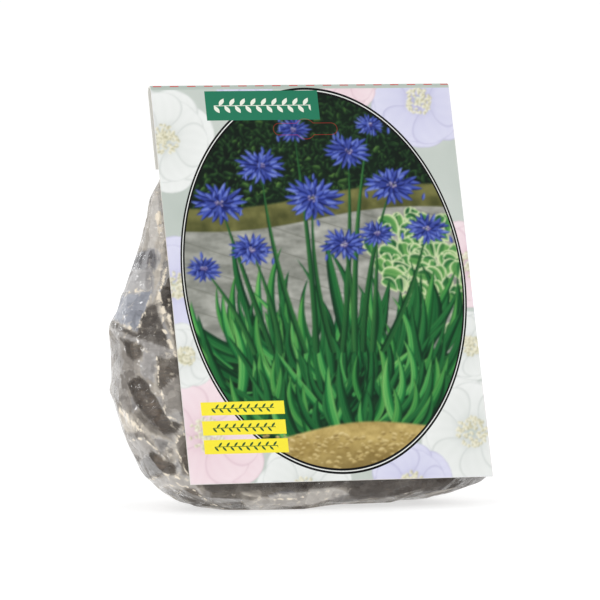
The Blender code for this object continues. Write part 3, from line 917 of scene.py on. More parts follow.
def crumple(grid, normals, heights, dice):
    """Lift, nearness to a crease with a painted glint, facet number and shade of the film's grid points."""
    around, girth, pixels = film_places(grid, normals)
    spots, lifts, glint_strengths, edges = [], [], [], []
    for _, line, stand, glint_strength in FOLDS:
        before = None
        for pixel in line:
            place, level = place_of_pixel(pixel, around, heights, pixels)
            near = [k for k, (a, b) in enumerate(spots) if math.hypot(a - place, b - level) < 0.0012]
            if near:
                here = near[0]
            else:
                here = len(spots)
                spots.append((place, level))
                lifts.append(1.5 * stand / 1000)
                glint_strengths.append(glint_strength)
            if before is not None and before != here:
                edges.append((before, here))
            before = here
    fixed = list(spots)
    for place, level in loose_creases(girth, fixed, dice):
        spots.append((place, level))
        lifts.append(crease_height(level, dice))
        glint_strengths.append(0.55 * dice.uniform(0.0, 1.0) ** 3.0)
    for k in range(len(spots)):
        place, level = spots[k]
        for shift in (-girth, girth):
            if -0.03 < place + shift < girth + 0.03:
                spots.append((place + shift, level))
                lifts.append(lifts[k])
                glint_strengths.append(glint_strengths[k])
    for shift in np.arange(-0.03, girth + 0.031, 0.012):
        for level in (-0.002, 0.160, 0.192):
            spots.append((float(shift), level))
            lifts.append(0.0)
            glint_strengths.append(0.0)
    made = geometry.delaunay_2d_cdt([Vector(spot) for spot in spots], edges, [], 0, 1e-7)
    corners = np.array([(v.x, v.y) for v in made[0]])
    source = [orig[0] if orig else None for orig in made[3]]
    stand = np.array([lifts[k] if k is not None else 0.0005 for k in source])
    # pale: how strongly a painted glint shows at each corner of the crease net.
    pale = np.array([glint_strengths[k] if k is not None else 0.3 for k in source])
    level_of = np.array([chance_of(round((x % girth) * 1e4) + 17.0 * round(z * 1e4), 3) for x, z in corners])
    lift = np.zeros(grid.shape[:2])
    crease = np.full(grid.shape[:2], 3.0)
    facet = np.zeros(grid.shape[:2])
    shade = np.full(grid.shape[:2], 0.5)
    unseen = np.clip((0.25 - normals @ np.array(VIEW_BACK)) / 0.25, 0, 1)
    flat = grid.reshape(-1, 3) * 1000
    wave = lumps(flat, 9.0, 381, 2).reshape(unseen.shape) - 0.5
    cross_wave = lumps(flat[:, ::-1], 8.0, 391, 2).reshape(unseen.shape) - 0.5
    bent_across = around[None, :] + 2 * CREASE_BEND * unseen * wave
    bent_up = heights[:, None] + 2 * CREASE_BEND * unseen * cross_wave
    reach = CREASE_BEND
    for face in made[2]:
        a, b, c = (corners[k] for k in face)
        middle = (a + b + c) / 3
        number = round((middle[0] % girth) * 1e4) * 0.37 + round(middle[1] * 1e4) * 0.61
        low, high = np.minimum(np.minimum(a, b), c), np.maximum(np.maximum(a, b), c)
        columns = slice(*np.searchsorted(around, (low[0] - reach, high[0] + reach)))
        levels = slice(*np.searchsorted(heights, (low[1] - reach, high[1] + reach)))
        if columns.start >= columns.stop or levels.start >= levels.stop:
            continue
        x, z = bent_across[levels, columns], bent_up[levels, columns]
        area = (b[0] - a[0]) * (c[1] - a[1]) - (c[0] - a[0]) * (b[1] - a[1])
        if abs(area) < 1e-12:
            continue
        wb = ((x - a[0]) * (c[1] - a[1]) - (c[0] - a[0]) * (z - a[1])) / area
        wc = ((b[0] - a[0]) * (z - a[1]) - (x - a[0]) * (b[1] - a[1])) / area
        wa = 1 - wb - wc
        inside = (wa > -1e-6) & (wb > -1e-6) & (wc > -1e-6)
        ia, ib, ic = face
        spot = (levels, columns)
        value = wa * stand[ia] + wb * stand[ib] + wc * stand[ic]
        lift[spot] = np.where(inside, value, lift[spot])
        value = wa * level_of[ia] + wb * level_of[ib] + wc * level_of[ic]
        shade[spot] = np.where(inside, value, shade[spot])
        near = np.full_like(wa, 3.0)
        for share, p, q in ((wa, ib, ic), (wb, ia, ic), (wc, ia, ib)):
            halfway = (corners[p] + corners[q]) / 2
            lucky = chance_of(round((halfway[0] % girth) * 1e4) + 0.7 * round(halfway[1] * 1e4), 6)
            # A painted glint runs along an edge whose two ends carry strong glints, and along a few at random.
            if min(pale[p], pale[q]) > 0.45 or lucky > 0.95:
                edge_long = max(np.linalg.norm(corners[p] - corners[q]), 1e-9)
                near = np.minimum(near, share * abs(area) / edge_long / 0.0010)
        crease[spot] = np.where(inside, near, crease[spot])
        facet[spot] = np.where(inside, number, facet[spot])
    return lift, crease, facet, shade, pixels


def film_heights():
    share = np.arange(FILM_LEVELS + 1) / FILM_LEVELS
    return MOUTH * share**1.15


def inside_polygon(pixels, corners):
    """Which pixels lie inside a polygon of pixels."""
    x, y = pixels[..., 0], pixels[..., 1]
    inside = np.zeros(x.shape, bool)
    for (ax, ay), (bx, by) in zip(corners, corners[1:] + corners[:1]):
        crosses = (ay > y) != (by > y)
        at = ax + (y - ay) * (bx - ax) / (by - ay if by != ay else 1e-9)
        inside ^= crosses & (x < at)
    return inside


def near_spot(pixels, middle, half):
    """1 at a pixel, falling to 0 at an ellipse round it."""
    away = np.hypot((pixels[..., 0] - middle[0]) / half[0], (pixels[..., 1] - middle[1]) / half[1])
    return np.clip(1.6 - 1.6 * away, 0, 1)


def keep_behind_card(points, clear=0.00025):
    """Moves points that would touch the card's panel back behind it."""
    lean = np.array((0.0, math.cos(CARD_LEAN), -math.sin(CARD_LEAN)))
    foot = np.array((CARD_X, CARD_Y, CARD_FOOT))
    offset = points - foot
    behind = offset @ lean - CARD_THICKNESS / 2
    up = offset[..., 1] * math.sin(CARD_LEAN) + offset[..., 2] * math.cos(CARD_LEAN)
    covered = (np.abs(offset[..., 0]) < CARD_WIDTH / 2 + 0.0015) & (up > -0.0015) & (up < CARD_HEIGHT)
    short = np.where(covered & (behind < clear), clear - behind, 0.0)
    return points + short[..., None] * lean


# Panels of the film between its folds, as the photograph shows them: how milky the film is there,
# how light its tone is, how bluish it is, and its corners in pixels. Their tones hold painted shade
# (the card's shadow on the foot, the shadow beside the ridge) and painted highlights and reflections,
# as well as the film's own haze and the dark peat seen through it.
PANELS = (
    ("left_haze", 0.82, 0.32, 0.10, ((104, 338), (121, 334), (126, 352), (140, 360), (140, 372), (131, 380), (127, 392), (136, 412), (120, 407), (104, 380))),
    ("lower_haze", 0.74, 0.34, 0.10, ((108, 395), (122, 404), (142, 430), (162, 455), (150, 460), (130, 442), (114, 420))),
    ("gusset_top", 0.62, 0.92, 0.15, ((162, 186), (160, 234), (154, 250), (143, 248), (134, 257), (142, 230), (150, 208))),
    ("gusset_smoke", 0.50, 0.26, 0.60, ((132, 258), (155, 249), (156, 270), (148, 275), (128, 272))),
    ("gusset_light", 0.74, 0.58, 0.45, ((128, 273), (153, 268), (154, 290), (122, 301))),
    ("gusset_foot", 0.80, 0.50, 0.95, ((122, 299), (153, 291), (146, 310), (137, 333), (118, 320), (114, 318))),
    ("ridge_shadow", 0.28, 0.14, 0.10, ((163, 262), (172, 266), (178, 308), (172, 330), (160, 300), (159, 284))),
    ("under_gusset", 0.28, 0.16, 0.10, ((114, 321), (137, 335), (147, 308), (155, 306), (163, 328), (169, 354), (161, 349), (137, 339), (114, 327))),
    ("shoulder_band", 0.84, 0.46, 0.30, ((112, 326), (137, 339), (161, 347), (179, 356), (157, 359), (143, 353), (119, 335))),
    ("first_lump", 0.20, 0.08, 0.00, ((121, 336), (142, 347), (142, 357), (134, 361), (126, 355))),
    ("light_pleat", 0.84, 0.48, 0.35, ((143, 352), (157, 356), (156, 372), (145, 381), (141, 372))),
    ("brown_panel", 0.34, 0.20, 0.00, ((157, 358), (180, 358), (180, 372), (163, 392), (157, 388))),
    ("middle_panel", 0.82, 0.46, 0.12, ((159, 391), (182, 370), (188, 410), (165, 417))),
    ("long_lump", 0.22, 0.06, 0.05, ((128, 384), (139, 376), (147, 384), (157, 400), (167, 418), (181, 426), (175, 435), (163, 434), (145, 414), (133, 400))),
    ("small_pocket", 0.80, 0.58, 0.30, ((166, 417), (188, 407), (188, 420), (170, 421))),
    # A painted highlight: a bright cream patch on the fold.
    ("cream_highlight_corner", 0.88, 0.92, 0.00, ((122, 405), (143, 431), (131, 433), (120, 418))),
    ("round_veil", 0.80, 0.66, 0.25, ((128, 440), (145, 438), (161, 454), (145, 460), (135, 454))),
    ("lower_lumps", 0.26, 0.12, 0.00, ((143, 460), (153, 452), (176, 466), (177, 474), (161, 475), (147, 469))),
    ("low_by_card", 0.52, 0.30, 0.00, ((176, 434), (188, 434), (194, 478), (183, 474), (178, 458))),
    ("corner_smoke", 0.34, 0.10, 0.25, ((138, 468), (152, 474), (160, 484), (152, 492), (140, 482))),
    ("corner_streak", 0.84, 0.74, 0.25, ((150, 478), (170, 474), (194, 481), (202, 493), (176, 486), (160, 486))),
    ("foot_brown", 0.32, 0.16, 0.00, ((170, 487), (196, 488), (207, 507), (182, 504))),
    ("foot_patch", 0.34, 0.20, 0.00, ((208, 488), (240, 488), (246, 510), (214, 512))),
    ("foot_light", 0.86, 0.72, 0.20, ((244, 501), (290, 492), (338, 490), (352, 496), (300, 505), (250, 510))),
    # Painted shadow of the card's lower edge on the film below it, in this panel and the next.
    ("foot_card_shadow", 0.30, 0.02, 0.10, ((345, 480), (500, 474), (476, 492), (400, 499), (350, 503))),
    ("foot_shade", 0.30, 0.08, 0.10, ((200, 480), (345, 480), (340, 488), (206, 491))),
)

# Bright flakes where a sharp crease catches the light: line in pixels, half width, how broken.
GLINTS = (
    ("neck_edge", ((161, 200), (159, 216), (160, 236)), 2.6, 0.50),
    ("upper_ridge", ((164, 236), (166, 256), (166, 268), (161, 286), (157, 300)), 2.0, 0.46),
    ("ridge_fork", ((158, 296), (164, 312), (163, 328), (168, 340), (175, 356)), 2.4, 0.44),
    ("ridge_flank", ((169, 300), (168, 316), (173, 334)), 2.2, 0.56),
    ("pleat_edge", ((157, 358), (158, 374), (159, 390), (165, 404), (165, 416)), 1.2, 0.42),
    ("gusset_hem", ((118, 318), (128, 327), (137, 333), (146, 312), (151, 297)), 0.8, 0.30),
    ("gusset_bubble", ((128, 296), (138, 292), (146, 292), (152, 290)), 0.7, 0.35),
    ("cream_flash", ((124, 410), (132, 420), (141, 430)), 3.4, 0.48),
    ("veil_edge", ((131, 441), (145, 438), (161, 454)), 0.8, 0.35),
    ("pocket_edge", ((166, 417), (175, 420), (183, 424), (184, 436)), 1.0, 0.42),
    ("side_pleat", ((178, 436), (176, 450), (182, 464), (190, 478)), 1.2, 0.50),
    ("corner_one", ((150, 478), (166, 473), (180, 478)), 0.9, 0.46),
    ("corner_two", ((160, 488), (178, 482), (196, 490)), 0.8, 0.48),
    ("foot_one", ((196, 492), (208, 504), (226, 510)), 0.7, 0.5),
    ("foot_two", ((262, 497), (284, 499), (306, 495)), 0.7, 0.5),
    ("foot_three", ((396, 499), (412, 497)), 0.6, 0.5),
)


def line_distance(pixels, line):
    """How far each pixel lies from a line of pixels."""
    best = np.full(pixels.shape[:2], 1e6)
    for a, b in zip(line, line[1:]):
        a, b = np.array(a, float), np.array(b, float)
        along = b - a
        t = np.clip(((pixels - a) @ along) / (along @ along), 0, 1)
        best = np.minimum(best, np.linalg.norm(pixels - a - t[..., None] * along, axis=-1))
    return best


def film_marks(grid, pixels, crease, facet, shade, lift):
    """Veil, light and cool of each point of the film, and how near it is to a painted glint along a crease."""
    flat = grid.reshape(-1, 3) * 1000
    x, y, z = flat[:, 0], flat[:, 1], flat[:, 2]
    shape = crease.shape
    raised = np.clip(lift / 0.0024, -0.25, 1.0)
    hazy = np.clip((chance_of(facet, 1) - 0.30) / 0.12, 0, 1)
    drift = np.clip((lumps(flat * np.array((1.0, 1.0, 0.7)), 24.0, 331, 2) - 0.36) / 0.28, 0, 1).reshape(shape)
    veil = 0.12 + 0.22 * hazy + 0.36 * drift + 0.14 * chance_of(facet, 5) + 0.24 * raised
    veil = veil + 0.30 * (shade - 0.5)
    # Lightness and a bluish tint change from facet to facet: painted reflections of the room on the crumpled film.
    light = 0.20 + 0.24 * chance_of(facet, 2) + 0.20 * raised + 0.44 * (shade - 0.5)
    cool = np.clip(chance_of(facet, 4) * 1.6 - 1.1, 0, 0.4)
    # rim: painted highlight along the creases and along each panel's edge, where the film is made lighter and
    # milkier.
    rim = np.clip(1.5 - crease, 0, 1)
    small = cloudy(x - 0.8 * y, z + 0.5 * y, 3.4, 302, 3).reshape(shape)
    shift = np.stack((cloudy(x, z, 4.0, 351, 2), cloudy(z, x, 4.0, 353, 2)), axis=-1).reshape(*shape, 2)
    spots = pixels + (shift - 0.5) * 3.0
    for _, panel_veil, panel_light, panel_cool, corners in PANELS:
        border = line_distance(spots, corners + corners[:1])
        deep = np.where(inside_polygon(spots, corners), border, -border)
        cover = np.clip(0.5 + deep / 1.4, 0, 1)
        veil = veil + (panel_veil - veil) * cover
        light = light + (panel_light - light) * cover
        cool = cool + (panel_cool - cool) * cover
        rim = rim * (1 - cover) + cover * np.clip(1 - np.abs(deep - 0.8) / 0.8, 0, 1) * 0.45
    above = np.clip((grid[..., 2] - 0.108) / 0.02, 0, 1)
    unseen = pixels[..., 0] < -1000
    veil = np.where(unseen, veil * (1 - 0.15 * above) + 0.10 * above, veil)
    light = np.where(unseen, light + 0.22 * above, light)
    veil = veil + 0.14 * (small - 0.5)
    light = light + 0.16 * (small - 0.5) + 0.26 * rim
    veil = veil + 0.25 * rim
    seen_creases = np.full(shape, 3.0)
    for _, line, half, _ in GLINTS:
        seen_creases = np.minimum(seen_creases, line_distance(spots, line) / half)
    others = np.where(unseen, crease + 0.18, np.maximum(crease, 1.1))
    near = np.clip(np.minimum(seen_creases, others) / 3.0, 0, 1)
    return np.clip(veil, 0, 1), np.clip(light, 0, 1), np.clip(cool, 0, 1), near


def lift_foot(points):
    """Raises the foot's front edge off the floor towards its right corner."""
    rise = np.interp(points[..., 0] - CARD_X, FOOT_LIFT_X, FOOT_LIFTS)
    front = np.clip((CARD_Y + 0.040 - points[..., 1]) / 0.030, 0, 1)
    low = np.clip(1 - points[..., 2] / 0.022, 0, 1)
    lifted = points.copy()
    lifted[..., 2] += rise * front * low
    return lifted


FOOT_RINGS = 6


def start_film(columns):
    """A closed cylinder cut into the film's columns and levels, with rings across its foot."""
    let_go()
    bpy.ops.mesh.primitive_cylinder_add(vertices=columns, radius=1, depth=1, end_fill_type="NGON")
    film = bpy.context.object
    film.name = "crumpled_film"
    pick(film)
    bpy.ops.object.mode_set(mode="EDIT")
    bpy.ops.mesh.select_mode(type="FACE")
    for lower in (True, False):
        bpy.ops.mesh.select_all(action="DESELECT")
        mesh = bmesh.from_edit_mesh(film.data)
        for face in mesh.faces:
            face.select_set(face.normal.z < -0.9 if lower else face.normal.z > 0.9)
        bmesh.update_edit_mesh(film.data)
        for _ in range(FOOT_RINGS if lower else 1):
            bpy.ops.mesh.inset(thickness=0.9 / FOOT_RINGS if lower else 0.9)
        bpy.ops.mesh.poke()
    bpy.ops.object.mode_set(mode="OBJECT")

    def upright(edge):
        return abs(edge.verts[0].co.z - edge.verts[1].co.z) > 1e-6

    cut_edges(film, upright, 7)
    cut_edges(film, upright, FILM_LEVELS // 8 - 1)
    return film


def make_film(dice):
    """The film bag: one closed skin, creased between the folds and pressed flat on the peat."""
    columns = sum(count for _, count, _ in FILM_QUARTERS)
    film = start_film(columns)
    points = points_of(film)
    radius = np.hypot(points[:, 0], points[:, 1])
    turn = np.arctan2(points[:, 1], points[:, 0])
    column = np.round((turn / math.tau) * columns).astype(int) % columns
    level = np.round((points[:, 2] + 0.5) * FILM_LEVELS).astype(int)
    heights = film_heights()
    grid = bag_grid(heights)
    normals = grid_normals(grid)
    lift, crease, facet, shade, pixels = crumple(grid, normals, heights, dice)
    lift = lift + FLAP_LIFT * inside_polygon(pixels, FLAP)
    flat = grid.reshape(-1, 3) * 1000
    ripple = cloudy(flat[:, 0] - flat[:, 1], flat[:, 2] * 0.8, 6.0, 311, 2).reshape(lift.shape) - 0.5
    lift = lift + 0.0008 * ripple * np.clip(1 - grid[..., 2] / 0.15, 0, 1)
    foot = np.clip(heights / 0.004, 0, 1)[:, None]
    lift = np.clip(lift, -0.0004, 0.0034) * foot
    moved = lift_foot(grid + normals * lift[..., None])
    moved[..., 2] = np.clip(moved[..., 2], 0.0, MOUTH)
    moved[-1, :, 2] = MOUTH
    moved = keep_behind_card(moved)
    placed = moved[level, column]
    for end in (0, FILM_LEVELS):
        middle = moved[end].mean(axis=0)
        inner = (level == end) & (radius < 0.999)
        share = radius[inner][:, None]
        placed[inner] = middle * (1 - share) + moved[end, column[inner]] * share
        if end == 0:
            under = placed[inner]
            wave = cloudy(under[:, 0] * 1000, under[:, 1] * 1000, 9.0, 371, 2) - 0.45
            under[:, 2] += 0.0016 * np.clip(wave, 0, 1) * np.clip(4 - 4 * radius[inner], 0, 1)
            placed[inner] = under
    set_points(film, placed)
    marks = film_marks(grid, pixels, crease, facet, shade, lift)
    for name, values in zip(("veil", "light", "cool", "crease"), marks):
        layer = film.data.attributes.new(name, "FLOAT", "POINT")
        layer.data.foreach_set("value", values[level, column].astype(np.float32))
    pick(film)
    bpy.ops.object.shade_smooth()
    return film, grid, normals, pixels


def solid_copy(node, name):
    """A merged copy of one of the part's solids, to dress."""
    let_go()
    twin = bpy.data.objects.new(name, frame["nodes"][node].data.copy())
    bpy.context.scene.collection.objects.link(twin)
    twin.data.materials.clear()
    merge_and_face_out(twin)
    return twin


def remesh(obj, pitch):
    pick(obj)
    modifier = obj.modifiers.new("even", "REMESH")
    modifier.mode = "VOXEL"
    modifier.voxel_size = pitch
    keep_modifiers(obj)


def rough_up(obj, moves):
    """Moves the surface along its own normals by what `moves` gives for its points, in metres."""
    points = points_of(obj)
    normals = np.empty(len(obj.data.vertices) * 3)
    obj.data.vertices.foreach_get("normal", normals)
    normals = normals.reshape(-1, 3)
    set_points(obj, points + normals * moves(points * 1000)[:, None])


def lumps(points, size, seed, layers=3):
    """Solid noise from 0 to 1 that is the same size in every direction, in millimetres."""
    x, y, z = points.T
    a = cloudy(x + 0.31 * y, z - 0.23 * y, size, seed, layers)
    b = cloudy(y - 0.27 * x, z + 0.19 * x, size, seed + 5, layers)
    c = cloudy(x - 0.21 * z, y + 0.33 * z, size, seed + 9, layers)
    return (a + b + c) / 3


def make_peat():
    """Damp peat: clods and crumbs pressed against the film."""
    peat = solid_copy("peat", "peat_fill")
    remesh(peat, 0.0012)

    def sink(points):
        clods = lumps(points, 7.5, 401)
        crumbs = lumps(points, 2.6, 409, 2)
        return -0.0001 - 0.0016 * np.clip(1.2 - 1.9 * clods, 0, 1) - 0.0006 * crumbs

    rough_up(peat, sink)
    pick(peat)
    bpy.ops.object.shade_smooth()
    return peat


# Thick roots and chips that lie against the film: their line in the photograph and half width.
PRESSED_ROOTS = (
    ("upper_root_end", ((131, 340), (137, 352), (141, 362)), 0.0040),
    ("long_root", ((134, 386), (146, 398), (158, 412), (168, 428)), 0.0058),
    ("root_by_card", ((160, 358), (166, 370), (172, 384)), 0.0040),
    ("lower_root", ((182, 432), (184, 450), (186, 468)), 0.0046),
    ("corner_chip", ((150, 456), (153, 466), (158, 474)), 0.0034),
    ("foot_root", ((176, 488), (188, 495), (204, 502)), 0.0038),
    ("side_chip", ((122, 366), (126, 376), (133, 384)), 0.0036),
    ("neck_leaf_base", ((152, 246), (151, 268), (149, 288)), 0.0034),
)


def make_pressed_roots(grid, normals, pixels):
    """Tapered root pieces just inside the film, one tube for each."""
    made = []
    for name, line, half in PRESSED_ROOTS:
        curve = bpy.data.curves.new(name, "CURVE")
        curve.dimensions = "3D"
        curve.bevel_depth = half
        curve.bevel_resolution = 6
        curve.use_fill_caps = True
        spline = curve.splines.new("NURBS")
        spline.points.add(len(line) + 1)
        places = []
        for pixel in line:
            off = np.hypot(pixels[..., 0] - pixel[0], pixels[..., 1] - pixel[1])
            spot = np.unravel_index(int(np.argmin(off)), off.shape)
            places.append(grid[spot] - normals[spot] * (half + 0.0016))
        places = [places[0]] + places + [places[-1]]
        for k, (point, place) in enumerate(zip(spline.points, places)):
            point.co = (*place, 1.0)
            point.radius = (0.45, 0.85, 1.0, 0.9, 0.8, 0.5)[min(k, 5)] if k < len(places) - 1 else 0.4
        spline.use_endpoint_u = True
        spline.order_u = 3
        piece = bpy.data.objects.new(name, curve)
        bpy.context.scene.collection.objects.link(piece)
        pick(piece)
        bpy.ops.object.convert(target="MESH")
        made.append(bpy.context.object)
    return made


def make_root_clump(node, name, extra, seed):
    """A crown with its fleshy roots, wrinkled and ringed."""
    clump = solid_copy(node, name)
    if extra:
        let_go()
        for piece in extra:
            piece.select_set(True)
        clump.select_set(True)
        bpy.context.view_layer.objects.active = clump
        bpy.ops.object.join()
    remesh(clump, 0.0008)

    def wrinkle(points):
        long = lumps(points * np.array((1.0, 1.0, 2.4)), 3.4, seed, 2)
        return 0.0006 * (long - 0.62)

    rough_up(clump, wrinkle)
    pick(clump)
    bpy.ops.object.shade_smooth()
    return clump



class Wiring:
    """Adds shader nodes to a tree and joins them."""

    def __init__(self, tree):
        self.tree = tree
        self.count = 0

    def add(self, kind, **settings):
        node = self.tree.nodes.new(kind)
        node.location = (200 * (self.count % 10), -260 * (self.count // 10))
        self.count += 1
        for name, value in settings.items():
            setattr(node, name, value)
        return node

    def feed(self, socket, value):
        if isinstance(value, bpy.types.NodeSocket):
            self.tree.links.new(value, socket)
        elif hasattr(socket.default_value, "__len__") and len(socket.default_value) == 4:
            socket.default_value = (*value[:3], 1.0)
        else:
            socket.default_value = value

    def math(self, operation, a, b=None, c=None, clamp=False):
        node = self.add("ShaderNodeMath", operation=operation, use_clamp=clamp)
        for socket, value in zip(node.inputs, (a, b, c)):
            if value is not None:
                self.feed(socket, value)
        return node.outputs[0]

    def mix(self, share, a, b):
        node = self.add("ShaderNodeMix", data_type="RGBA")
        self.feed(node.inputs[0], share)
        self.feed(node.inputs[6], a)
        self.feed(node.inputs[7], b)
        return node.outputs[2]

    def map(self, value, low, high, new_low=0.0, new_high=1.0):
        node = self.add("ShaderNodeMapRange")
        for socket, given in zip(node.inputs, (value, low, high, new_low, new_high)):
            self.feed(socket, given)
        return node.outputs[0]

    def noise(self, place, scale, detail=3.0, roughness=0.55):
        node = self.add("ShaderNodeTexNoise")
        self.feed(node.inputs["Vector"], place)
        node.inputs["Scale"].default_value = scale
        node.inputs["Detail"].default_value = detail
        node.inputs["Roughness"].default_value = roughness
        return node.outputs["Fac"]

    def noise_colour(self, place, scale):
        node = self.add("ShaderNodeTexNoise")
        self.feed(node.inputs["Vector"], place)
        node.inputs["Scale"].default_value = scale
        return node.outputs["Color"]

    def facets(self, place, scale):
        """Flat facets that each tilt their own way: their height in metres, and a chance each."""
        node = self.add("ShaderNodeTexVoronoi", feature="F1")
        self.feed(node.inputs["Vector"], place)
        node.inputs["Scale"].default_value = scale
        away = self.add("ShaderNodeVectorMath", operation="SUBTRACT")
        self.feed(away.inputs[0], place)
        self.feed(away.inputs[1], node.outputs["Position"])
        tilt = self.add("ShaderNodeVectorMath", operation="SUBTRACT")
        self.feed(tilt.inputs[0], node.outputs["Color"])
        tilt.inputs[1].default_value = (0.5, 0.5, 0.5)
        dot = self.add("ShaderNodeVectorMath", operation="DOT_PRODUCT")
        self.feed(dot.inputs[0], away.outputs[0])
        self.feed(dot.inputs[1], tilt.outputs[0])
        parts = self.add("ShaderNodeSeparateXYZ")
        self.feed(parts.inputs[0], node.outputs["Color"])
        return dot.outputs["Value"], parts.outputs[0]

    def cells(self, place, scale, feature="F1", output="Distance"):
        node = self.add("ShaderNodeTexVoronoi", feature=feature)
        self.feed(node.inputs["Vector"], place)
        node.inputs["Scale"].default_value = scale
        return node.outputs[output]

    def stretch(self, place, scale, turn=(0.0, 0.0, 0.0)):
        node = self.add("ShaderNodeMapping")
        self.feed(node.inputs["Vector"], place)
        node.inputs["Scale"].default_value = scale
        node.inputs["Rotation"].default_value = turn
        return node.outputs[0]

    def objects(self):
        return self.add("ShaderNodeTexCoord").outputs["Object"]

    def attribute(self, name, output="Fac"):
        return self.add("ShaderNodeAttribute", attribute_name=name).outputs[output]

    def bump(self, height, strength, distance):
        node = self.add("ShaderNodeBump")
        node.inputs["Strength"].default_value = strength
        node.inputs["Distance"].default_value = distance
        self.feed(node.inputs["Height"], height)
        return node.outputs[0]

    def group(self, tree, **values):
        node = self.add("ShaderNodeGroup")
        node.node_tree = tree
        for name, value in values.items():
            self.feed(node.inputs[name.replace("_", " ")], value)
        return node


def new_group(name, inputs, outputs):
    """A shader node group with named inputs and outputs, and the wiring inside it."""
    tree = bpy.data.node_groups.new(name, "ShaderNodeTree")
    for label, kind, value in inputs:
        socket = tree.interface.new_socket(label, in_out="INPUT", socket_type=kind)
        if value is not None:
            socket.default_value = value
    for label, kind in outputs:
        tree.interface.new_socket(label, in_out="OUTPUT", socket_type=kind)
    wiring = Wiring(tree)
    return tree, wiring, wiring.add("NodeGroupInput"), wiring.add("NodeGroupOutput")


def new_material(name):
    material = bpy.data.materials.new(name)
    material.use_nodes = True
    tree = material.node_tree
    shader = tree.nodes["Principled BSDF"]
    return material, Wiring(tree), shader


def lin(red, green, blue):
    """A screen colour of 0 to 255 as a linear shader colour."""
    return tuple(float(v) for v in linear((red / 255, green / 255, blue / 255))) + (1.0,)


def board_fibre_group():
    """The faint tooth of coated board: a colour change and a height."""
    tree, w, given, out = new_group(
        "board_fibre",
        (("Colour", "NodeSocketColor", (0.8, 0.8, 0.8, 1)), ("Strength", "NodeSocketFloat", 1.0)),
        (("Colour", "NodeSocketColor"), ("Height", "NodeSocketFloat"), ("Roughness", "NodeSocketFloat")),
    )
    place = w.objects()
    tooth = w.noise(w.stretch(place, (1.0, 1.0, 2.5)), 900.0, 4.0)
    cloud = w.noise(place, 26.0, 2.0)
    dim = w.math("MULTIPLY", w.math("SUBTRACT", cloud, 0.5), 0.05)
    dim = w.math("MULTIPLY", dim, given.outputs["Strength"])
    shade = w.math("SUBTRACT", 1.0, dim)
    scaled = w.add("ShaderNodeVectorMath", operation="SCALE")
    w.feed(scaled.inputs[0], given.outputs["Colour"])
    w.feed(scaled.inputs[3], shade)
    w.feed(out.inputs["Colour"], scaled.outputs[0])
    w.feed(out.inputs["Height"], tooth)
    w.feed(out.inputs["Roughness"], w.map(tooth, 0.3, 0.7, 0.40, 0.52))
    return tree


def box_mask(w, x, z, box, soft_edge=0.06):
    """1 inside a box of the card's millimetres and 0 outside it."""
    low_x, low_z, high_x, high_z = box
    a = w.math("ABSOLUTE", w.math("SUBTRACT", x, (low_x + high_x) / 2))
    b = w.math("ABSOLUTE", w.math("SUBTRACT", z, (low_z + high_z) / 2))
    a = w.math("SUBTRACT", (high_x - low_x) / 2, a)
    b = w.math("SUBTRACT", (high_z - low_z) / 2, b)
    return w.map(w.math("MINIMUM", a, b), -soft_edge, soft_edge)


def garland(w, x, z, low, high, middle, pitch, leaf_long, leaf_wide):
    """A row of leaves up and down along a stem: plain ornament for a bare label."""
    along = w.math("DIVIDE", w.math("SUBTRACT", x, low), pitch)
    cell = w.math("FLOOR", along)
    side = w.math("SUBTRACT", w.math("MULTIPLY", w.math("MODULO", cell, 2.0), 2.0), 1.0)
    local = w.math("MULTIPLY", w.math("SUBTRACT", w.math("FRACT", along), 0.5), pitch)
    rise = w.math("MULTIPLY", w.math("SUBTRACT", z, middle), side)
    rise = w.math("SUBTRACT", rise, leaf_long * 0.36)
    c, s = math.cos(math.radians(48)), math.sin(math.radians(48))
    a = w.math("ADD", w.math("MULTIPLY", local, c), w.math("MULTIPLY", rise, s))
    b = w.math("SUBTRACT", w.math("MULTIPLY", rise, c), w.math("MULTIPLY", local, s))
    a = w.math("DIVIDE", a, leaf_long / 2)
    half = w.math("MULTIPLY", w.math("SUBTRACT", 1.0, w.math("MULTIPLY", a, a)), leaf_wide / 2)
    leaf = w.map(w.math("SUBTRACT", half, w.math("ABSOLUTE", b)), -0.06, 0.06)
    stem = w.math("ABSOLUTE", w.math("SUBTRACT", z, middle))
    stem = w.map(w.math("SUBTRACT", 0.16, stem), -0.05, 0.05)
    both = w.math("MAXIMUM", leaf, stem)
    return w.math("MULTIPLY", both, box_mask(w, x, z, (low, middle - 9, high, middle + 9)))


